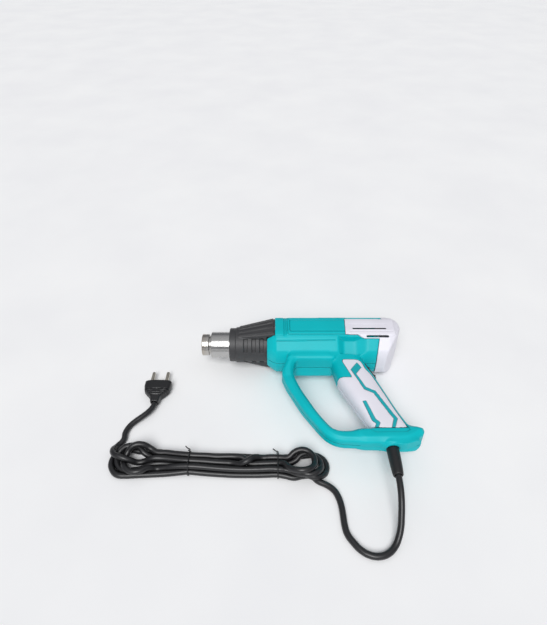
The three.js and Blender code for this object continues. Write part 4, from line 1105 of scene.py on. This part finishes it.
# %% [markdown]
# The wide tube ends in a step, and the mouth is a second, narrower tube that stands out of it
# behind a turned groove. Each profile lists places along the axis and radii, once round the wall.

# %% Model the nozzle
NOZZLE_STEP_X, NOZZLE_R, MOUTH_R, MOUTH_BORE, GROOVE_R = -83.7, 17.5, 14.6, 11.5, 12.3
NOZZLE_PROFILES = {
    "nozzle_tube": [
        (NOZZLE_STEP_X, 12.6), (NOZZLE_STEP_X, NOZZLE_R - 1.2), (NOZZLE_STEP_X + 0.3, NOZZLE_R - 0.4),
        (NOZZLE_STEP_X + 1, NOZZLE_R), (-62, NOZZLE_R), (8, NOZZLE_R), (8, 21), (9, 21),
        (9, NOZZLE_R - 1), (NOZZLE_STEP_X + 1.5, NOZZLE_R - 1), (NOZZLE_STEP_X + 1.5, 12.6)],
    "nozzle_mouth": [
        (MOUTH_X, MOUTH_BORE), (MOUTH_X, MOUTH_R - 0.6), (MOUTH_X + 0.6, MOUTH_R), (-87, MOUTH_R),
        (-86.4, MOUTH_R - 0.5), (-86.3, GROOVE_R), (-81.9, GROOVE_R), (-81.9, 13.6), (-80.9, 13.6),
        (-80.9, MOUTH_BORE)],
}
for name, profile in NOZZLE_PROFILES.items():
    finish_piece(spun(name + "_polished", profile), STAINLESS, (name,))
    print(name, "turned from", len(profile), "places")

# %% [markdown]
# ## Lead entry
# Where the lead leaves the foot, a tapered rubber sleeve spreads the bend over 37 mm, so the
# copper never folds at one place. Its wall thins towards the end, and its skin is smooth.

# %% Model the sleeve
RUBBER = moulded(
    "moulded_rubber", "#19191B", "#37373A", "#080808", 0.48, 1.52, grain_mm=1.0, grain_depth=0.05)
SLEEVE_BORE = 3.9
sleeve_profile = [
    (-154.5, SLEEVE_BORE), (-154.5, SLEEVE_FLANGE_R), (-157.5, SLEEVE_FLANGE_R), (-157.5, SLEEVE_R),
    (-167, SLEEVE_R), (-185, 6.5), (-194, 6.0), (-197.2, 5.5), (SLEEVE_END_Y, 5.0),
    (SLEEVE_END_Y, SLEEVE_BORE)]
relief = spun("lead_sleeve", sleeve_profile, axis="Y", centre=(SLEEVE_X, 0, 0), sides=64, cut=0.25)
finish_piece(relief, RUBBER, ("strain_relief",))

# %% [markdown]
# ## Switch
# A three-way rocker sits in the back of the grip under the thumb: off in the middle, low and high
# at its ends. Its top is dished, and plain raised marks tell the ends apart by feel.

# %% Model the switch
SWITCH_STEP = 0.3
SWITCH_LOW = (98.0, -78.0, -9.5)
sx, sy, sz = grid(SWITCH_LOW, (132.0, -38.0, 9.5), SWITCH_STEP)
out, up = at_rocker(sx, sy)
ROCKER_SIDE = [(2.6, -8.6), (4.2, -8), (1.9, -4), (1.2, 0), (1.9, 4), (4.2, 8), (2.6, 8.6), (-3.4, 5),
               (-3.4, -5)]
RIM = 1.6
bezel_plan = block(np.abs(up) - SWITCH_HALF_LENGTH, np.abs(sz) - SWITCH_HALF_WIDTH)
well = meet(meet(bezel_plan + RIM, -9 - out, 0.4), out - 9)
case = carve(meet(bezel_plan, np.abs(out + 9.4) - 10.6, 0.9), well, 0.5)
finish_piece(surface("switch_case", case, SWITCH_LOW, SWITCH_STEP), BLACK_NYLON,
             ("switch_body",))
rocker = meet(outline(ease(ROCKER_SIDE, 0.6), out, up), np.abs(sz) - 6, 0.7)
mark_plan = np.minimum(slot_form(sz, up, -1.8, 1.8, 6.2, 0.45), np.abs(np.hypot(sz, up) - 1.7) - 0.4)
for z in (-1.1, 1.1):
    mark_plan = np.minimum(mark_plan, slot_form(up, sz, -7.6, -4.6, z, 0.4))
rocker = join(rocker, meet(meet(mark_plan, rocker - 0.35), -out), 0.15)
rocker_piece = surface("switch_rocker_dished", rocker, SWITCH_LOW, SWITCH_STEP)
finish_piece(rocker_piece, RUBBER, ("switch_rocker",), body="rocker")

# %% [markdown]
# ## Plug
# A two-pin plug of the round earthless kind, moulded onto the lead in the same PVC as its sheath.
# Finger grooves cross its shoulders, and the pins are nickel-plated brass with rounded tips.

# %% Model the plug
PLUG_STEP = 0.5
PLUG_LOW = (-171.5, -81.0, -37.0)
px, py, pz = grid(PLUG_LOW, (-132.5, -42.0, -19.0), PLUG_STEP)
PLUG_X, PLUG_Y, PLUG_LENGTH = -152, -78, 34
PLUG_Z = FLOOR_Z + 7.3
PIN_R, PIN_PITCH, PIN_LENGTH, PIN_ROOT = 2.4, 19, 19, 11
PLUG_SQUARENESS = 4
FINGER_GROOVES, GROOVE_HALF, GROOVE_DEPTH = (10, 13, 16, 19), 0.6, 0.8
across, inwards, upwards = px - PLUG_X, py - PLUG_Y, pz - PLUG_Z
half_width = follow(inwards, (-2, 0, 8, 13, 18, 26, 34), (4.8, 5.2, 6.8, 11.5, 15.8, 17.4, 17.4))
half_depth = follow(inwards, (-2, 0, 10, 18, 34), (4.6, 5, 6, 7, 7))
plug_round = ((np.abs(across) / half_width) ** PLUG_SQUARENESS
              + (np.abs(upwards) / half_depth) ** PLUG_SQUARENESS) ** (1 / PLUG_SQUARENESS)
plug = (plug_round - 1) * half_depth
for y in FINGER_GROOVES:
    plug = carve(plug, block(np.abs(inwards - y) - GROOVE_HALF, -plug - GROOVE_DEPTH), 0.4)
plug = meet(plug, span(inwards, 0, PLUG_LENGTH), 1.4)
plug = carve(plug, block(ring(across, upwards, CORD_R) - 0.05, inwards - 3))
for side in (-1, 1):
    pin_room = ring(across - side * PIN_PITCH / 2, upwards, PIN_R) - GAP
    plug = carve(plug, block(pin_room, PLUG_LENGTH - PIN_ROOT - 1 - inwards))
finish_piece(surface("plug_moulding", plug, PLUG_LOW, PLUG_STEP), PVC_SHEATH,
             ("plug_body",))

# %% [markdown]
# Nickel plate is a warm, slightly yellow mirror. Years of sockets rub it dull in patches, which one
# fine noise gives. Each pin is a spun rod with its end rounded off.

# %% Nickel plate and the two pins
NICKEL, nickel_shader, nickel_place = new_finish("nickel_plated_brass")
rubbed = add(NICKEL, "TexNoise", {"Vector": nickel_place, "Scale": 1 / (2.2 * MM), "Detail": 4.0})
nickel_tone = add(NICKEL, "ValToRGB", {"Fac": rubbed}, stops=[
    (0.35, colour("#B9B3A6")), (0.65, colour("#CFCAC0"))])
nickel_gloss = add(NICKEL, "MapRange", {"Value": rubbed, "To Min": 0.18, "To Max": 0.42})
wire(NICKEL, nickel_shader, Base_Color=nickel_tone, Metallic=1.0, Roughness=nickel_gloss)
pin_y = PLUG_Y + PLUG_LENGTH
pin_profile = [(pin_y - PIN_ROOT, 0.02), (pin_y - PIN_ROOT, PIN_R), (pin_y + 17.2, PIN_R),
               (pin_y + 18.4, PIN_R - 0.6), (pin_y + PIN_LENGTH, 0.9), (pin_y + PIN_LENGTH, 0.02)]
for number, side in ((1, -1), (2, 1)):
    plug_pin = spun("plug_pin_%d_plated" % number, pin_profile, axis="Y",
                    centre=(PLUG_X + side * PIN_PITCH / 2, 0, PLUG_Z), sides=32, cut=0.5)
    finish_piece(plug_pin, NICKEL, ("plug_pin_%d" % number,))

# %% [markdown]
# ## Inside pieces
# The heater, fan, motor, board, wires and screws keep their engineering shapes and only get the
# finish of their real material, each with its own small pattern, plus a narrow bevel where their
# edges catch the light through the slots.


# %% Finishes for the inside pieces
INSIDE_BEVEL, BEVEL_FROM = 0.15 * MM, math.radians(45)


def patterned(name, dark, pale, pattern_mm, roughness, metallic=0.0, kind="TexNoise", ior=1.5):
    """A plain material with one pattern that changes its tone, gloss and height."""
    material, shader, place = new_finish(name)
    pattern = add(material, kind, {"Vector": place, "Scale": 1 / (pattern_mm * MM)})
    tone = add(material, "ValToRGB", {"Fac": pattern}, stops=[(0.3, colour(dark)), (0.7, colour(pale))])
    gloss = add(material, "MapRange", {
        "Value": pattern, "To Min": roughness - 0.08, "To Max": roughness + 0.1})
    relief = add(material, "Bump", {"Height": pattern, "Strength": 0.4, "Distance": 0.05 * MM})
    wire(material, shader, Base_Color=tone, Metallic=metallic, Roughness=gloss, Normal=relief)
    if not metallic:
        shader.inputs["IOR"].default_value = ior
    return material


INSIDE_FINISHES = [
    (patterned("mica_sheet", "#8D7747", "#BFAA78", 3.0, 0.42, kind="TexVoronoi", ior=1.58),
     ["heater_tube", "heater_core", "heater_grille"]),
    (patterned("oxidised_resistance_wire", "#4B4742", "#7C756C", 1.5, 0.5, metallic=1.0),
     ["heater_coil"]),
    (patterned("zinc_plated_steel", "#9FA3A8", "#C4C7CB", 2.0, 0.34, metallic=1.0),
     ["thermal_fuse", "motor_can", "motor_shaft", "motor_screw_1", "motor_screw_2", "clamp_screw_1",
      "clamp_screw_2"] + ["housing_screw_%d" % n for n in range(1, 10)]),
    (patterned("sintered_ferrite", "#3C3B3D", "#565557", 1.0, 0.62, ior=2.0),
     ["motor_magnet_1", "motor_magnet_2"]),
    (patterned("enamelled_copper", "#8C4A22", "#C27A43", 1.2, 0.35, kind="TexWave", metallic=1.0),
     ["motor_armature"]),
    (patterned("phenolic_board", "#7A5A28", "#96753B", 2.5, 0.5, kind="TexVoronoi"), ["rectifier_board"]),
    (patterned("moulded_pbt_black", "#1C1C1E", "#2C2C2F", 1.2, 0.45, ior=1.55),
     ["air_duct", "fan_shroud", "fan_impeller", "motor_cap", "cord_clamp"]),
    (PVC_SHEATH, ["cord_inner"]),
    (patterned("wire_sleeve_brown", "#6B2B18", "#8A3D25", 2.0, 0.42, ior=1.53), ["wire_live"]),
    (patterned("wire_sleeve_blue", "#234A94", "#3460AE", 2.0, 0.42, ior=1.53), ["wire_neutral"]),
]
for material, names in INSIDE_FINISHES:
    for name in names:
        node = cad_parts[name]
        node.data.materials.clear()
        node.data.materials.append(material)
        bevel = node.modifiers.new("edge", "BEVEL")
        bevel.width, bevel.segments = INSIDE_BEVEL, 2
        bevel.limit_method, bevel.angle_limit = "ANGLE", BEVEL_FROM
    print(material.name, "on", len(names), "pieces")
